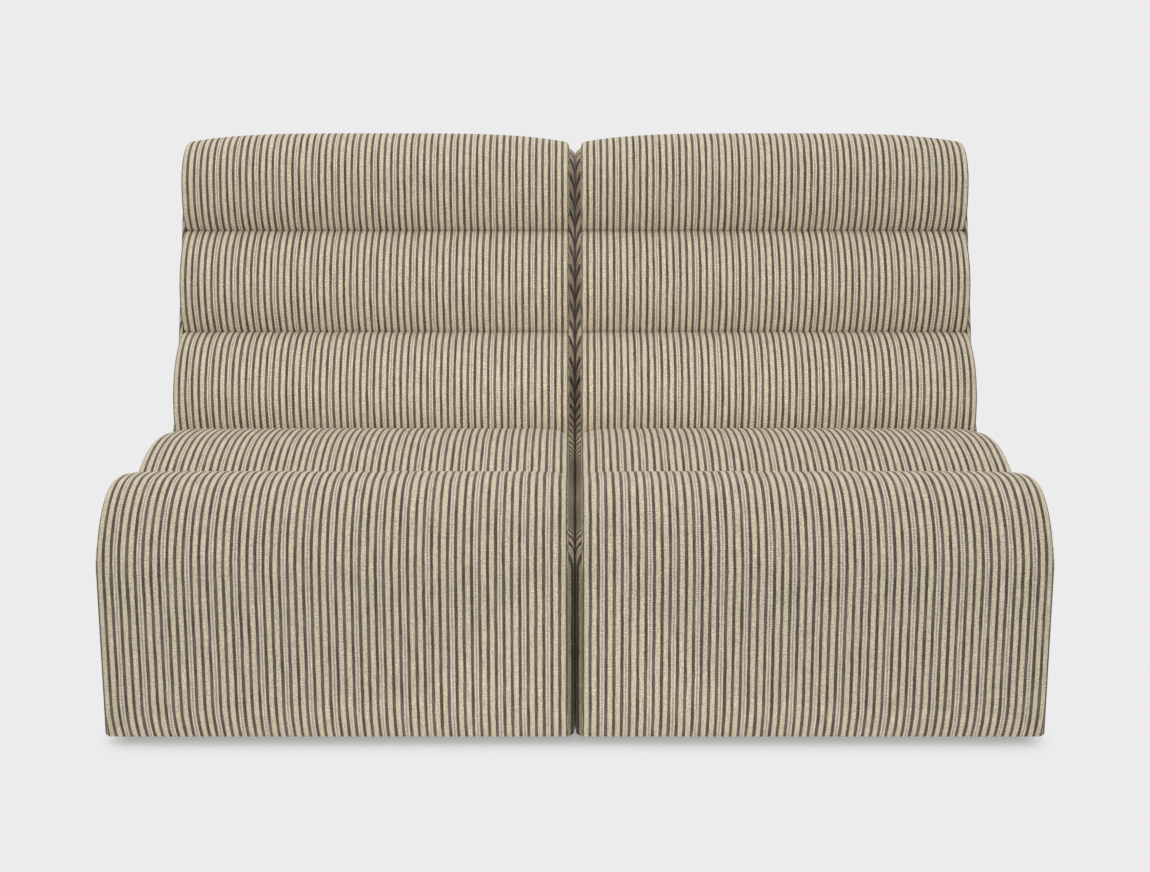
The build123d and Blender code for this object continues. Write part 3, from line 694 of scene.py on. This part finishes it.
def back_straps(module):
    """Elastic straps across the back, ribbed lengthways, with thin selvedges."""
    length = hypot(*np.subtract(BACK_HIGH, BACK_LOW))
    spare = (length - WEB_COUNT * WEB_WIDTH) / (WEB_COUNT + 1)
    across = np.linspace(0.2, WEB_WIDTH - 0.2, 61)
    edge = np.minimum(across, WEB_WIDTH - across)
    half = 0.55 + 0.25 * filled(edge, 3.0) + 0.12 * np.cos(across * 2 * np.pi / 5)
    xs = np.linspace(-HALF_FACE + 0.5, HALF_FACE - 0.5, 24)
    points, faces = [], []
    for i in range(WEB_COUNT):
        start = np.add(BACK_LOW, BACK_UP * (spare + i * (WEB_WIDTH + spare))) + BACK_REARWARD
        front = start + across[:, None] * BACK_UP - half[:, None] * BACK_REARWARD
        rear = start + across[::-1, None] * BACK_UP + half[::-1, None] * BACK_REARWARD
        section = np.vstack((front, rear))
        base = len(points) * len(section)
        faces += [tuple(base + v for v in f) for f in ring_faces(len(xs), len(section), flip=True)]
        points += [placed(module, x, section[:, 0], section[:, 1]) for x in xs]
    return new_piece(f"{module}_back_straps", np.vstack(points), faces)


# Finishes


def finish_of(name):
    """New material, with its node tree and its shader."""
    material = bpy.data.materials.new(name)
    material.use_nodes = True
    tree = material.node_tree
    return material, tree, tree.nodes["Principled BSDF"]


def plug(tree, socket, value):
    if isinstance(value, bpy.types.NodeSocket):
        tree.links.new(value, socket)
    else:
        socket.default_value = value


def worked(tree, operation, first, second=0.0, third=0.0):
    node = tree.nodes.new("ShaderNodeMath")
    node.operation = operation
    for socket, value in zip(node.inputs, (first, second, third)):
        plug(tree, socket, value)
    return node.outputs[0]


def scaled_place(tree, place, scale):
    """Coordinates stretched by a scale for each axis."""
    node = tree.nodes.new("ShaderNodeMapping")
    node.inputs["Scale"].default_value = scale
    tree.links.new(place, node.inputs["Vector"])
    return node.outputs[0]


def mottle(tree, place, scale, detail=2.0, roughness=0.5):
    """Noise from 0 to 1, stretched by scale."""
    node = tree.nodes.new("ShaderNodeTexNoise")
    node.inputs["Scale"].default_value = 1.0
    node.inputs["Detail"].default_value = detail
    node.inputs["Roughness"].default_value = roughness
    tree.links.new(scaled_place(tree, place, scale), node.inputs["Vector"])
    return node.outputs[0]


def ranged(tree, value, low, high, to_low=0.0, to_high=1.0):
    node = tree.nodes.new("ShaderNodeMapRange")
    node.interpolation_type = "SMOOTHSTEP"
    for name, number in (("From Min", low), ("From Max", high), ("To Min", to_low), ("To Max", to_high)):
        node.inputs[name].default_value = number
    plug(tree, node.inputs["Value"], value)
    return node.outputs["Result"]


def blended(tree, share, first, second):
    """Colour between two colours."""
    node = tree.nodes.new("ShaderNodeMix")
    node.data_type = "RGBA"
    plug(tree, node.inputs["Factor"], share)
    plug(tree, node.inputs["A"], first)
    plug(tree, node.inputs["B"], second)
    return node.outputs["Result"]


def raised(tree, shader, height, distance, strength=1.0):
    node = tree.nodes.new("ShaderNodeBump")
    node.inputs["Strength"].default_value = strength
    node.inputs["Distance"].default_value = distance
    tree.links.new(height, node.inputs["Height"])
    tree.links.new(node.outputs["Normal"], shader.inputs["Normal"])


def object_place(tree):
    return tree.nodes.new("ShaderNodeTexCoord").outputs["Object"]


def parts_of(tree, place):
    node = tree.nodes.new("ShaderNodeSeparateXYZ")
    tree.links.new(place, node.inputs[0])
    return node.outputs


def srgb(red, green, blue):
    """Linear colour from 0 to 255 display values."""
    values = []
    for value in (red, green, blue):
        v = value / 255
        values.append(v / 12.92 if v <= 0.04045 else ((v + 0.055) / 1.055) ** 2.4)
    return (*values, 1.0)


def plain_weave(tree, place, thread):
    """Height of a plain weave: over and under threads a given distance apart, in metres."""
    across, along, _ = parts_of(tree, scaled_place(tree, place, (1 / thread, 1 / thread, 1.0)))
    cell = worked(tree, "ADD", worked(tree, "FLOOR", across), worked(tree, "FLOOR", along))
    over = worked(tree, "PINGPONG", cell, 1.0)
    crest_a = worked(tree, "SINE", worked(tree, "MULTIPLY", worked(tree, "FRACT", across), np.pi))
    crest_b = worked(tree, "SINE", worked(tree, "MULTIPLY", worked(tree, "FRACT", along), np.pi))
    under = worked(tree, "SUBTRACT", 1.0, over)
    crest_a = worked(tree, "MULTIPLY", crest_a, over)
    crest_b = worked(tree, "MULTIPLY", crest_b, under)
    return worked(tree, "ADD", crest_a, crest_b)


def ticking():
    """Slubby linen in beige with charcoal stripes in threes and a dotted line in every third gap."""
    material, tree, shader = finish_of("striped_ticking")
    place = tree.nodes.new("ShaderNodeUVMap")
    place.uv_map = "weave"
    place = place.outputs["UV"]
    across, along, _ = parts_of(tree, place)

    # Yarns wander a little, and every stripe edge is frayed by them
    wander = worked(tree, "SUBTRACT", mottle(tree, place, (75.0, 17.0, 1.0), 2.0), 0.5)
    fray = worked(tree, "SUBTRACT", mottle(tree, place, (520.0, 760.0, 1.0), 1.0), 0.5)
    pitch = worked(tree, "MULTIPLY", across, 1000.0 / STRIPE_PITCH)
    pitch = worked(tree, "MULTIPLY_ADD", wander, 0.16, pitch)
    beside = worked(tree, "ABSOLUTE", worked(tree, "SUBTRACT", worked(tree, "FRACT", pitch), 0.5))
    width = mottle(tree, place, (38.0, 9.0, 1.0), 1.0)
    edge = worked(tree, "MULTIPLY_ADD", fray, 0.2, beside)
    edge = worked(tree, "MULTIPLY_ADD", worked(tree, "SUBTRACT", width, 0.5), 0.07, edge)
    stripe = ranged(tree, edge, 0.235, 0.175)

    # Every third gap is paler, with a line of dots in its middle
    third = worked(tree, "FRACT", worked(tree, "MULTIPLY", worked(tree, "ADD", pitch, 0.5), 1 / 3))
    pale = worked(tree, "LESS_THAN", third, 1 / 3)
    middle = worked(tree, "SUBTRACT", 0.5, beside)
    thin = ranged(tree, worked(tree, "MULTIPLY_ADD", fray, 0.03, middle), 0.115, 0.065)
    beat = worked(tree, "MULTIPLY_ADD", fray, 0.25, worked(tree, "MULTIPLY", along, 1000.0 / DOT_PITCH))
    beat = worked(tree, "ABSOLUTE", worked(tree, "SUBTRACT", worked(tree, "FRACT", beat), 0.5))
    dot = worked(tree, "MULTIPLY", thin, ranged(tree, beat, 0.3, 0.2))
    fade = ranged(tree, mottle(tree, place, (60.0, 12.0, 1.0), 1.0), 0.3, 0.55, 0.6, 1.0)
    dot = worked(tree, "MULTIPLY", worked(tree, "MULTIPLY", dot, fade), pale)

    # Slubs run along both threads, and pale flecks of weft show in the dark stripes
    weft = mottle(tree, place, (34.0, 640.0, 1.0), 2.0)
    warp = mottle(tree, place, (640.0, 26.0, 1.0), 2.0)
    slub = worked(tree, "MULTIPLY", worked(tree, "ADD", weft, warp), 0.5)
    fleck = ranged(tree, mottle(tree, place, (420.0, 520.0, 1.0), 1.0), 0.5, 0.72)

    # Ground cloth, uneven in its grain
    grain = mottle(tree, place, (330.0, 360.0, 1.0), 1.0)
    uneven = worked(tree, "MULTIPLY_ADD", grain, 0.45, worked(tree, "MULTIPLY", slub, 0.55))
    tone = ranged(tree, uneven, 0.36, 0.64)
    beige = blended(tree, tone, srgb(182, 167, 141), srgb(241, 226, 198))
    cream = blended(tree, tone, srgb(197, 185, 162), srgb(247, 236, 213))
    ground = blended(tree, worked(tree, "MULTIPLY", pale, 0.6), beige, cream)
    speck = ranged(tree, mottle(tree, place, (300.0, 480.0, 1.0), 2.0, 0.7), 0.34, 0.62, 0.22, 0.0)
    ground = blended(tree, speck, ground, srgb(136, 121, 97))

    # Charcoal stripes, here and there worn paler
    charcoal = blended(tree, fleck, srgb(56, 51, 48), srgb(126, 116, 104))
    worn = ranged(tree, mottle(tree, place, (75.0, 15.0, 1.0), 2.0), 0.36, 0.66, 0.0, 0.55)
    worn = worked(tree, "MULTIPLY", worn, ranged(tree, grain, 0.25, 0.6, 0.4, 1.0))
    charcoal = blended(tree, worn, charcoal, srgb(126, 119, 112))
    ground = blended(tree, worked(tree, "MULTIPLY", dot, 0.95), ground, srgb(76, 59, 36))
    colour = blended(tree, worked(tree, "MULTIPLY", stripe, 0.96), ground, charcoal)
    tree.links.new(colour, shader.inputs["Base Color"])

    threads = plain_weave(tree, place, 0.0011)
    height = worked(tree, "MULTIPLY_ADD", slub, 1.4, worked(tree, "MULTIPLY", threads, 0.6))
    raised(tree, shader, height, 0.00035, 0.6)
    rough = ranged(tree, slub, 0.3, 0.7, 0.96, 0.86)
    tree.links.new(rough, shader.inputs["Roughness"])
    shader.inputs["Specular IOR Level"].default_value = 0.25
    shader.inputs["Sheen Weight"].default_value = 0.12
    shader.inputs["Sheen Roughness"].default_value = 0.5
    return material


def planks(name, grain, dark, light):
    """Planed wood with its grain along one axis; grain is the stretch along X, Y and Z."""
    material, tree, shader = finish_of(name)
    place = object_place(tree)
    bend = mottle(tree, place, tuple(6.0 if g < 10 else 30.0 for g in grain), 2.0)
    rings = worked(tree, "FRACT", worked(tree, "MULTIPLY", mottle(tree, place, grain, 2.0), 9.0))
    fibre = mottle(tree, place, tuple(g * 14 for g in grain), 3.0, 0.65)
    tone = worked(tree, "MULTIPLY_ADD", fibre, 0.5, worked(tree, "MULTIPLY", rings, 0.5))
    tone = worked(tree, "MULTIPLY_ADD", worked(tree, "SUBTRACT", bend, 0.5), 0.5, tone)
    tree.links.new(blended(tree, ranged(tree, tone, 0.15, 0.85), dark, light), shader.inputs["Base Color"])
    tree.links.new(ranged(tree, fibre, 0.3, 0.7, 0.62, 0.78), shader.inputs["Roughness"])
    raised(tree, shader, fibre, 0.0003, 0.5)
    return material


def plywood():
    """Birch ply: pale veneer on its faces, and thin layers on its edges."""
    material, tree, shader = finish_of("birch_plywood")
    place = object_place(tree)
    across, _, _ = parts_of(tree, place)
    veneer = mottle(tree, place, (30.0, 46.0, 3.0), 3.0, 0.6)
    fibre = mottle(tree, place, (600.0, 700.0, 30.0), 2.0)
    face = blended(tree, ranged(tree, veneer, 0.3, 0.7), srgb(205, 175, 130), srgb(228, 203, 162))
    layer = worked(tree, "PINGPONG", worked(tree, "MULTIPLY", across, 1000 / 2.0), 1.0)
    layers = blended(tree, ranged(tree, layer, 0.35, 0.65), srgb(150, 112, 70), srgb(214, 184, 138))
    geometry = tree.nodes.new("ShaderNodeNewGeometry")
    facing, _, _ = parts_of(tree, geometry.outputs["Normal"])
    is_face = worked(tree, "GREATER_THAN", worked(tree, "ABSOLUTE", facing), 0.7)
    tree.links.new(blended(tree, is_face, layers, face), shader.inputs["Base Color"])
    tree.links.new(ranged(tree, fibre, 0.3, 0.7, 0.6, 0.75), shader.inputs["Roughness"])
    raised(tree, shader, fibre, 0.0002, 0.5)
    return material


def fibrous(name, dark, light, scale, bump, roughness):
    """Matted fibres, as in felt, hardboard or pressed cloth."""
    material, tree, shader = finish_of(name)
    place = object_place(tree)
    matted = mottle(tree, place, (scale, scale, scale), 4.0, 0.7)
    clumps = mottle(tree, place, (scale / 14, scale / 14, scale / 14), 2.0)
    tone = worked(tree, "MULTIPLY_ADD", clumps, 0.4, worked(tree, "MULTIPLY", matted, 0.6))
    tree.links.new(blended(tree, ranged(tree, tone, 0.3, 0.7), dark, light), shader.inputs["Base Color"])
    rough = ranged(tree, matted, 0.2, 0.8, roughness - 0.06, roughness + 0.04)
    tree.links.new(rough, shader.inputs["Roughness"])
    raised(tree, shader, matted, bump, 0.7)
    return material


def spunbond():
    """Black non-woven cloth with its grid of pressed points."""
    material, tree, shader = finish_of("black_dust_cloth")
    place = object_place(tree)
    fibres = mottle(tree, place, (900.0, 900.0, 900.0), 3.0, 0.7)
    across, along, _ = parts_of(tree, scaled_place(tree, place, (400.0, 400.0, 1.0)))
    cell = [worked(tree, "SUBTRACT", worked(tree, "FRACT", axis), 0.5) for axis in (across, along)]
    away = worked(tree, "SQRT", worked(tree, "ADD", *[worked(tree, "POWER", c, 2.0) for c in cell]))
    pressed = ranged(tree, away, 0.18, 0.3)
    tone = worked(tree, "MULTIPLY", worked(tree, "MULTIPLY_ADD", pressed, 0.6, 0.4), fibres)
    colour = blended(tree, ranged(tree, tone, 0.1, 0.7), srgb(16, 16, 17), srgb(52, 52, 54))
    tree.links.new(colour, shader.inputs["Base Color"])
    tree.links.new(ranged(tree, pressed, 0.0, 1.0, 0.62, 0.9), shader.inputs["Roughness"])
    raised(tree, shader, worked(tree, "MULTIPLY_ADD", fibres, 0.4, pressed), 0.00025, 0.6)
    return material


def webbing():
    """Elastic webbing: black ribs with a weave across them, with painted highlight on their crests and
    painted shade in the troughs.
    """
    material, tree, shader = finish_of("elastic_webbing")
    place = object_place(tree)
    across, _, rise = parts_of(tree, scaled_place(tree, place, (900.0, 900.0, 1200.0)))
    weft = worked(tree, "ABSOLUTE", worked(tree, "SINE", across))
    ribs = worked(tree, "ABSOLUTE", worked(tree, "SINE", rise))
    height = worked(tree, "MULTIPLY_ADD", weft, 0.6, ribs)
    fuzz = mottle(tree, place, (1500.0, 1500.0, 1500.0), 2.0)
    # Colour follows the relief height: painted highlight on the crests of ribs and weave, painted shade in
    # the troughs, broken by random fuzz.
    tone = worked(tree, "MULTIPLY_ADD", fuzz, 0.6, 0.4)
    tone = worked(tree, "MULTIPLY", tone, worked(tree, "MULTIPLY", height, 0.6))
    colour = blended(tree, ranged(tree, tone, 0.1, 0.8), srgb(20, 20, 22), srgb(88, 86, 84))
    tree.links.new(colour, shader.inputs["Base Color"])
    tree.links.new(ranged(tree, fuzz, 0.2, 0.8, 0.75, 0.9), shader.inputs["Roughness"])
    raised(tree, shader, height, 0.0003, 0.7)
    return material


def steel(name, dark, light, rough_low, rough_high):
    """Bare or plated steel with faint clouds and fine scratches."""
    material, tree, shader = finish_of(name)
    place = object_place(tree)
    clouds = mottle(tree, place, (70.0, 70.0, 70.0), 3.0)
    scratches = mottle(tree, place, (900.0, 120.0, 900.0), 2.0, 0.7)
    tone = worked(tree, "MULTIPLY_ADD", scratches, 0.3, worked(tree, "MULTIPLY", clouds, 0.7))
    tree.links.new(blended(tree, ranged(tree, tone, 0.25, 0.75), dark, light), shader.inputs["Base Color"])
    tree.links.new(ranged(tree, tone, 0.25, 0.75, rough_low, rough_high), shader.inputs["Roughness"])
    shader.inputs["Metallic"].default_value = 1.0
    raised(tree, shader, scratches, 0.00006, 0.5)
    return material


def moulded_plastic():
    """Black moulded plastic, finely grained and scuffed where it meets the floor."""
    material, tree, shader = finish_of("glide_plastic")
    place = object_place(tree)
    _, _, rise = parts_of(tree, place)
    grain = mottle(tree, place, (1800.0, 1800.0, 1800.0), 1.0)
    scuffs = mottle(tree, place, (260.0, 900.0, 260.0), 3.0, 0.7)
    worn = worked(tree, "MULTIPLY", ranged(tree, rise, 0.003, 0.0), ranged(tree, scuffs, 0.45, 0.65))
    tree.links.new(blended(tree, worn, srgb(30, 30, 31), srgb(86, 85, 83)), shader.inputs["Base Color"])
    tree.links.new(ranged(tree, grain, 0.2, 0.8, 0.48, 0.62), shader.inputs["Roughness"])
    raised(tree, shader, grain, 0.0001, 0.6)
    return material


TICKING = ticking()
FELT = fibrous("grey_felt", srgb(96, 92, 88), srgb(150, 144, 137), 700.0, 0.0006, 0.94)
DUST_CLOTH = spunbond()
WEBBING = webbing()
ZINC = steel("zinc_plated_steel", srgb(170, 172, 174), srgb(214, 215, 213), 0.3, 0.46)
TEMPERED = steel("oil_tempered_wire", srgb(62, 62, 64), srgb(112, 111, 110), 0.32, 0.5)
PINE_X = planks("planed_pine_across", (1.6, 26.0, 26.0), srgb(186, 142, 88), srgb(226, 190, 138))
PINE_Y = planks("planed_pine_lengthways", (26.0, 1.6, 26.0), srgb(186, 142, 88), srgb(226, 190, 138))
PLY = plywood()
HARDBOARD = fibrous("brown_hardboard", srgb(92, 62, 38), srgb(138, 98, 62), 420.0, 0.0002, 0.72)
PLASTIC = moulded_plastic()

NODE_FINISHES = {
    "back_top_rail": PINE_X,
    "front_base_rail": PINE_X,
    "rear_base_rail": PINE_X,
    "seat_front_rail": PINE_X,
    "seat_rear_rail": PINE_X,
    "base_stretchers": PINE_Y,
    "corner_blocks": PINE_Y,
    "inner_gable": PLY,
    "outer_gable": PLY,
    "front_fascia": HARDBOARD,
    "seat_springs": TEMPERED,
    "spring_clips": ZINC,
    "frame_screws": ZINC,
    "glide_screws": ZINC,
    "connector_screws": ZINC,
    "connector_blades": ZINC,
    "connector_clips": ZINC,
    "glides": PLASTIC,
}


def finished(piece, material):
    """Gives a piece its one material."""
    piece.data.materials.clear()
    piece.data.materials.append(material)
    return piece


for node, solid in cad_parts.items():
    material = NODE_FINISHES.get(node.split("_", 1)[1])
    if material:
        finished(solid, material)


# Staples that hold the dust sheet


def staple_tree():
    """Node tree that sets staples along a curve: crown under the sheet, legs up into the frame."""
    tree = bpy.data.node_groups.new("staple_row", "GeometryNodeTree")
    face = tree.interface
    face.new_socket("Geometry", in_out="INPUT", socket_type="NodeSocketGeometry")
    sizes = {"Spacing": 0.045, "Crown": 0.010, "Leg": 0.003, "Wire": 0.0009}
    for name, value in sizes.items():
        socket = face.new_socket(name, in_out="INPUT", socket_type="NodeSocketFloat")
        socket.default_value = value
    face.new_socket("Metal", in_out="INPUT", socket_type="NodeSocketMaterial")
    face.new_socket("Geometry", in_out="OUTPUT", socket_type="NodeSocketGeometry")
    nodes, links = tree.nodes, tree.links
    given = nodes.new("NodeGroupInput").outputs
    half = nodes.new("ShaderNodeMath")
    half.operation = "MULTIPLY"
    half.inputs[1].default_value = 0.5
    links.new(given["Crown"], half.inputs[0])
    back = nodes.new("ShaderNodeMath")
    back.operation = "MULTIPLY"
    back.inputs[1].default_value = -1.0
    links.new(half.outputs[0], back.inputs[0])

    def corner(x, z=None):
        node = nodes.new("ShaderNodeCombineXYZ")
        links.new(x, node.inputs["X"])
        if z:
            links.new(z, node.inputs["Z"])
        return node.outputs[0]

    def bar(start, end):
        node = nodes.new("GeometryNodeCurvePrimitiveLine")
        links.new(start, node.inputs["Start"])
        links.new(end, node.inputs["End"])
        return node.outputs[0]

    left, right = back.outputs[0], half.outputs[0]
    wires = nodes.new("GeometryNodeJoinGeometry")
    for start, end in (
        (corner(left), corner(right)),
        (corner(left), corner(left, given["Leg"])),
        (corner(right), corner(right, given["Leg"])),
    ):
        links.new(bar(start, end), wires.inputs[0])
    profile = nodes.new("GeometryNodeCurvePrimitiveCircle")
    profile.inputs["Resolution"].default_value = 6
    thick = nodes.new("ShaderNodeMath")
    thick.operation = "MULTIPLY"
    thick.inputs[1].default_value = 0.5
    links.new(given["Wire"], thick.inputs[0])
    links.new(thick.outputs[0], profile.inputs["Radius"])
    solid = nodes.new("GeometryNodeCurveToMesh")
    solid.inputs["Fill Caps"].default_value = True
    links.new(wires.outputs[0], solid.inputs["Curve"])
    links.new(profile.outputs["Curve"], solid.inputs["Profile Curve"])
    spots = nodes.new("GeometryNodeCurveToPoints")
    spots.mode = "LENGTH"
    links.new(given["Geometry"], spots.inputs["Curve"])
    links.new(given["Spacing"], spots.inputs["Length"])
    turn = nodes.new("FunctionNodeAlignRotationToVector")
    turn.axis = "X"
    turn.pivot_axis = "Z"
    links.new(spots.outputs["Tangent"], turn.inputs["Vector"])
    each = nodes.new("GeometryNodeInstanceOnPoints")
    links.new(spots.outputs["Points"], each.inputs["Points"])
    links.new(solid.outputs[0], each.inputs["Instance"])
    links.new(turn.outputs[0], each.inputs["Rotation"])
    real = nodes.new("GeometryNodeRealizeInstances")
    links.new(each.outputs[0], real.inputs[0])
    coat = nodes.new("GeometryNodeSetMaterial")
    links.new(real.outputs[0], coat.inputs["Geometry"])
    links.new(given["Metal"], coat.inputs["Material"])
    links.new(coat.outputs[0], nodes.new("NodeGroupOutput").inputs[0])
    return tree


STAPLES = staple_tree()


def staples(module):
    """Staples round the edge of the dust sheet and along the stretchers."""
    curve = bpy.data.curves.new(f"{module}_staple_lines", "CURVE")
    curve.dimensions = "3D"
    low, high = BASE_FRONT + 14, BASE_REAR - 12
    wide = HALF_FACE - 9
    lines = [((-wide, low), (wide, low)), ((-wide, high), (wide, high))]
    lines += [((x, low + 30), (x, high - 30)) for x in (-wide, wide, *STRETCHERS)]
    for ends in lines:
        spline = curve.splines.new("POLY")
        spline.points.add(1)
        for point, (x, depth) in zip(spline.points, ends):
            point.co = (*placed(module, x, depth, STAPLE_Z)[0], 1.0)
    line = bpy.data.objects.new(f"{module}_staple_lines", curve)
    bpy.context.scene.collection.objects.link(line)
    setter = line.modifiers.new("staples", "NODES")
    setter.node_group = STAPLES
    for item in STAPLES.interface.items_tree:
        if item.name == "Metal":
            setter[item.identifier] = ZINC
    seen = line.evaluated_get(bpy.context.evaluated_depsgraph_get())
    mesh = bpy.data.meshes.new_from_object(seen)
    line.modifiers.remove(setter)
    bpy.data.objects.remove(line)
    piece = bpy.data.objects.new(f"{module}_dust_sheet_staples", mesh)
    bpy.context.scene.collection.objects.link(piece)
    return piece


# Upholstery of both modules

ALL_ROLLS = bpy.data.collections.new("channel_rolls")
BACK_ROLLS = bpy.data.collections.new("back_rolls")

for module in MODULES:
    body = f"{module}_module"

    for roll in ROLLS:
        piece = finished(channel_roll(module, roll), TICKING)
        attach(piece, body)
        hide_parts(f"{module}_{roll}_foam", f"{module}_roll_cover")
        ALL_ROLLS.objects.link(piece)
        if roll.endswith("back"):
            BACK_ROLLS.objects.link(piece)

    for which in ("outer", "inner"):
        piece = finished(side_panel(module, which), TICKING)
        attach(piece, body)
        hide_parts(f"{module}_{which}_side_panel")

    piece = finished(outside_back(module), TICKING)
    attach(piece, body)
    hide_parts(f"{module}_outside_back")

    piece = finished(felt_pad(module), FELT)
    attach(piece, body)
    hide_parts(f"{module}_seat_insulator")

    piece = finished(back_straps(module), WEBBING)
    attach(piece, body)
    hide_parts(f"{module}_back_webbing")

    sheet = finished(dust_sheet(module), DUST_CLOTH)
    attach(sheet, body)
    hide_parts(f"{module}_dust_cover")

    pins = staples(module)
    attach(pins, body)


# Floor, light and camera

BACKDROP = srgb(236, 236, 236)
FLOOR_BOUNCE = (0.4, 0.4, 0.4, 1.0)      # what the floor throws back on the sofa
FOOTPRINT = (0.76, 0.45)                 # half width and half depth of the shaded floor, in metres
SHADE_RUN = 0.07
UNDER_SHARE = 0.45                       # share of the even light left on the floor under the sofa
SURROUND_LIGHT = 0.71
PHOTO_FOCAL = 1800 / 1150                # focal length in picture widths
CAMERA_PLACE = (0.0, -3.3445, 1.1775)
CAMERA_TILT = radians(77.5)              # 12.5 degrees below level


def floor():
    """Wide pale floor that keeps a lightened shadow near the sofa and is even further out."""
    mesh = bpy.data.meshes.new("studio_floor")
    mesh.from_pydata([(-60, -60, 0), (60, -60, 0), (60, 60, 0), (-60, 60, 0)], [], [(0, 1, 2, 3)])
    piece = bpy.data.objects.new("studio_floor", mesh)
    bpy.context.scene.collection.objects.link(piece)
    material, tree, shader = finish_of("pale_floor")
    shader.inputs["Roughness"].default_value = 0.9
    shader.inputs["Specular IOR Level"].default_value = 0.1
    across, along, _ = parts_of(tree, object_place(tree))
    beside = [
        worked(tree, "MAXIMUM", worked(tree, "SUBTRACT", worked(tree, "ABSOLUTE", axis), reach), 0.0)
        for axis, reach in zip((across, along), FOOTPRINT)
    ]
    away = worked(tree, "SQRT", worked(tree, "ADD", *[worked(tree, "POWER", b, 2.0) for b in beside]))
    # Camera rays see the floor glow with the backdrop colour, fully beyond SHADE_RUN and at UNDER_SHARE
    # under and beside the sofa: painted light that lightens the floor's real shadow there.
    far = ranged(tree, away, 0.0, SHADE_RUN, UNDER_SHARE, 1.0)
    path = tree.nodes.new("ShaderNodeLightPath")
    seen = blended(tree, path.outputs["Is Camera Ray"], FLOOR_BOUNCE, BACKDROP)
    tree.links.new(seen, shader.inputs["Base Color"])
    far = worked(tree, "MULTIPLY", far, path.outputs["Is Camera Ray"])
    even = tree.nodes.new("ShaderNodeEmission")
    even.inputs["Color"].default_value = BACKDROP
    even.inputs["Strength"].default_value = 1.0
    mix = tree.nodes.new("ShaderNodeMixShader")
    tree.links.new(far, mix.inputs["Fac"])
    tree.links.new(shader.outputs[0], mix.inputs[1])
    tree.links.new(even.outputs[0], mix.inputs[2])
    tree.links.new(mix.outputs[0], tree.nodes["Material Output"].inputs["Surface"])
    finished(piece, material)


def surroundings():
    """Soft even light from all round, with a pale backdrop where it is seen."""
    world = bpy.data.worlds.new("studio")
    world.use_nodes = True
    tree = world.node_tree
    light = tree.nodes["Background"]
    light.inputs["Color"].default_value = (1.0, 1.0, 1.0, 1.0)
    light.inputs["Strength"].default_value = SURROUND_LIGHT
    seen = tree.nodes.new("ShaderNodeBackground")
    seen.inputs["Color"].default_value = BACKDROP
    path = tree.nodes.new("ShaderNodeLightPath")
    shown = worked(tree, "MAXIMUM", path.outputs["Is Camera Ray"], path.outputs["Is Glossy Ray"])
    shown = worked(tree, "MAXIMUM", shown, path.outputs["Is Transmission Ray"])
    mix = tree.nodes.new("ShaderNodeMixShader")
    tree.links.new(shown, mix.inputs["Fac"])
    tree.links.new(light.outputs[0], mix.inputs[1])
    tree.links.new(seen.outputs[0], mix.inputs[2])
    tree.links.new(mix.outputs[0], tree.nodes["World Output"].inputs["Surface"])
    bpy.context.scene.world = world


def softbox(name, place, aim, size, power):
    """Rectangular lamp at a place, turned towards its aim."""
    lamp = bpy.data.lights.new(name, "AREA")
    lamp.shape = "RECTANGLE"
    lamp.size, lamp.size_y = size
    lamp.energy = power
    holder = bpy.data.objects.new(name, lamp)
    holder.location = place
    holder.rotation_euler = (Vector(aim) - Vector(place)).to_track_quat("-Z", "Y").to_euler()
    bpy.context.scene.collection.objects.link(holder)
    return holder


floor()
surroundings()
softbox("overhead_softbox", (-0.3, -0.8, 3.4), (0.0, 0.0, 0.4), (3.4, 2.4), 46.5)
# These two stand in for the light that floor and seat throw up on the rolls
for lamp, group in (
    (softbox("floor_bounce", (0.0, -1.5, -0.7), (0.0, 0.1, 0.45), (2.4, 1.0), 18.6), ALL_ROLLS),
    (softbox("seat_bounce", (0.0, -0.2, 0.44), (0.0, 0.25, 0.7), (1.5, 0.45), 0.9), BACK_ROLLS),
):
    lamp.data.use_shadow = False
    lamp.visible_camera = False
    lamp.light_linking.receiver_collection = group

view = bpy.data.cameras.new("photo_view")
view.sensor_width = 36.0
view.lens = view.sensor_width * PHOTO_FOCAL
camera = bpy.data.objects.new("photo_view", view)
camera.location = CAMERA_PLACE
camera.rotation_euler = (CAMERA_TILT, 0.0, 0.0)
bpy.context.scene.collection.objects.link(camera)
bpy.context.scene.camera = camera
bpy.context.scene.view_settings.view_transform = "Standard"
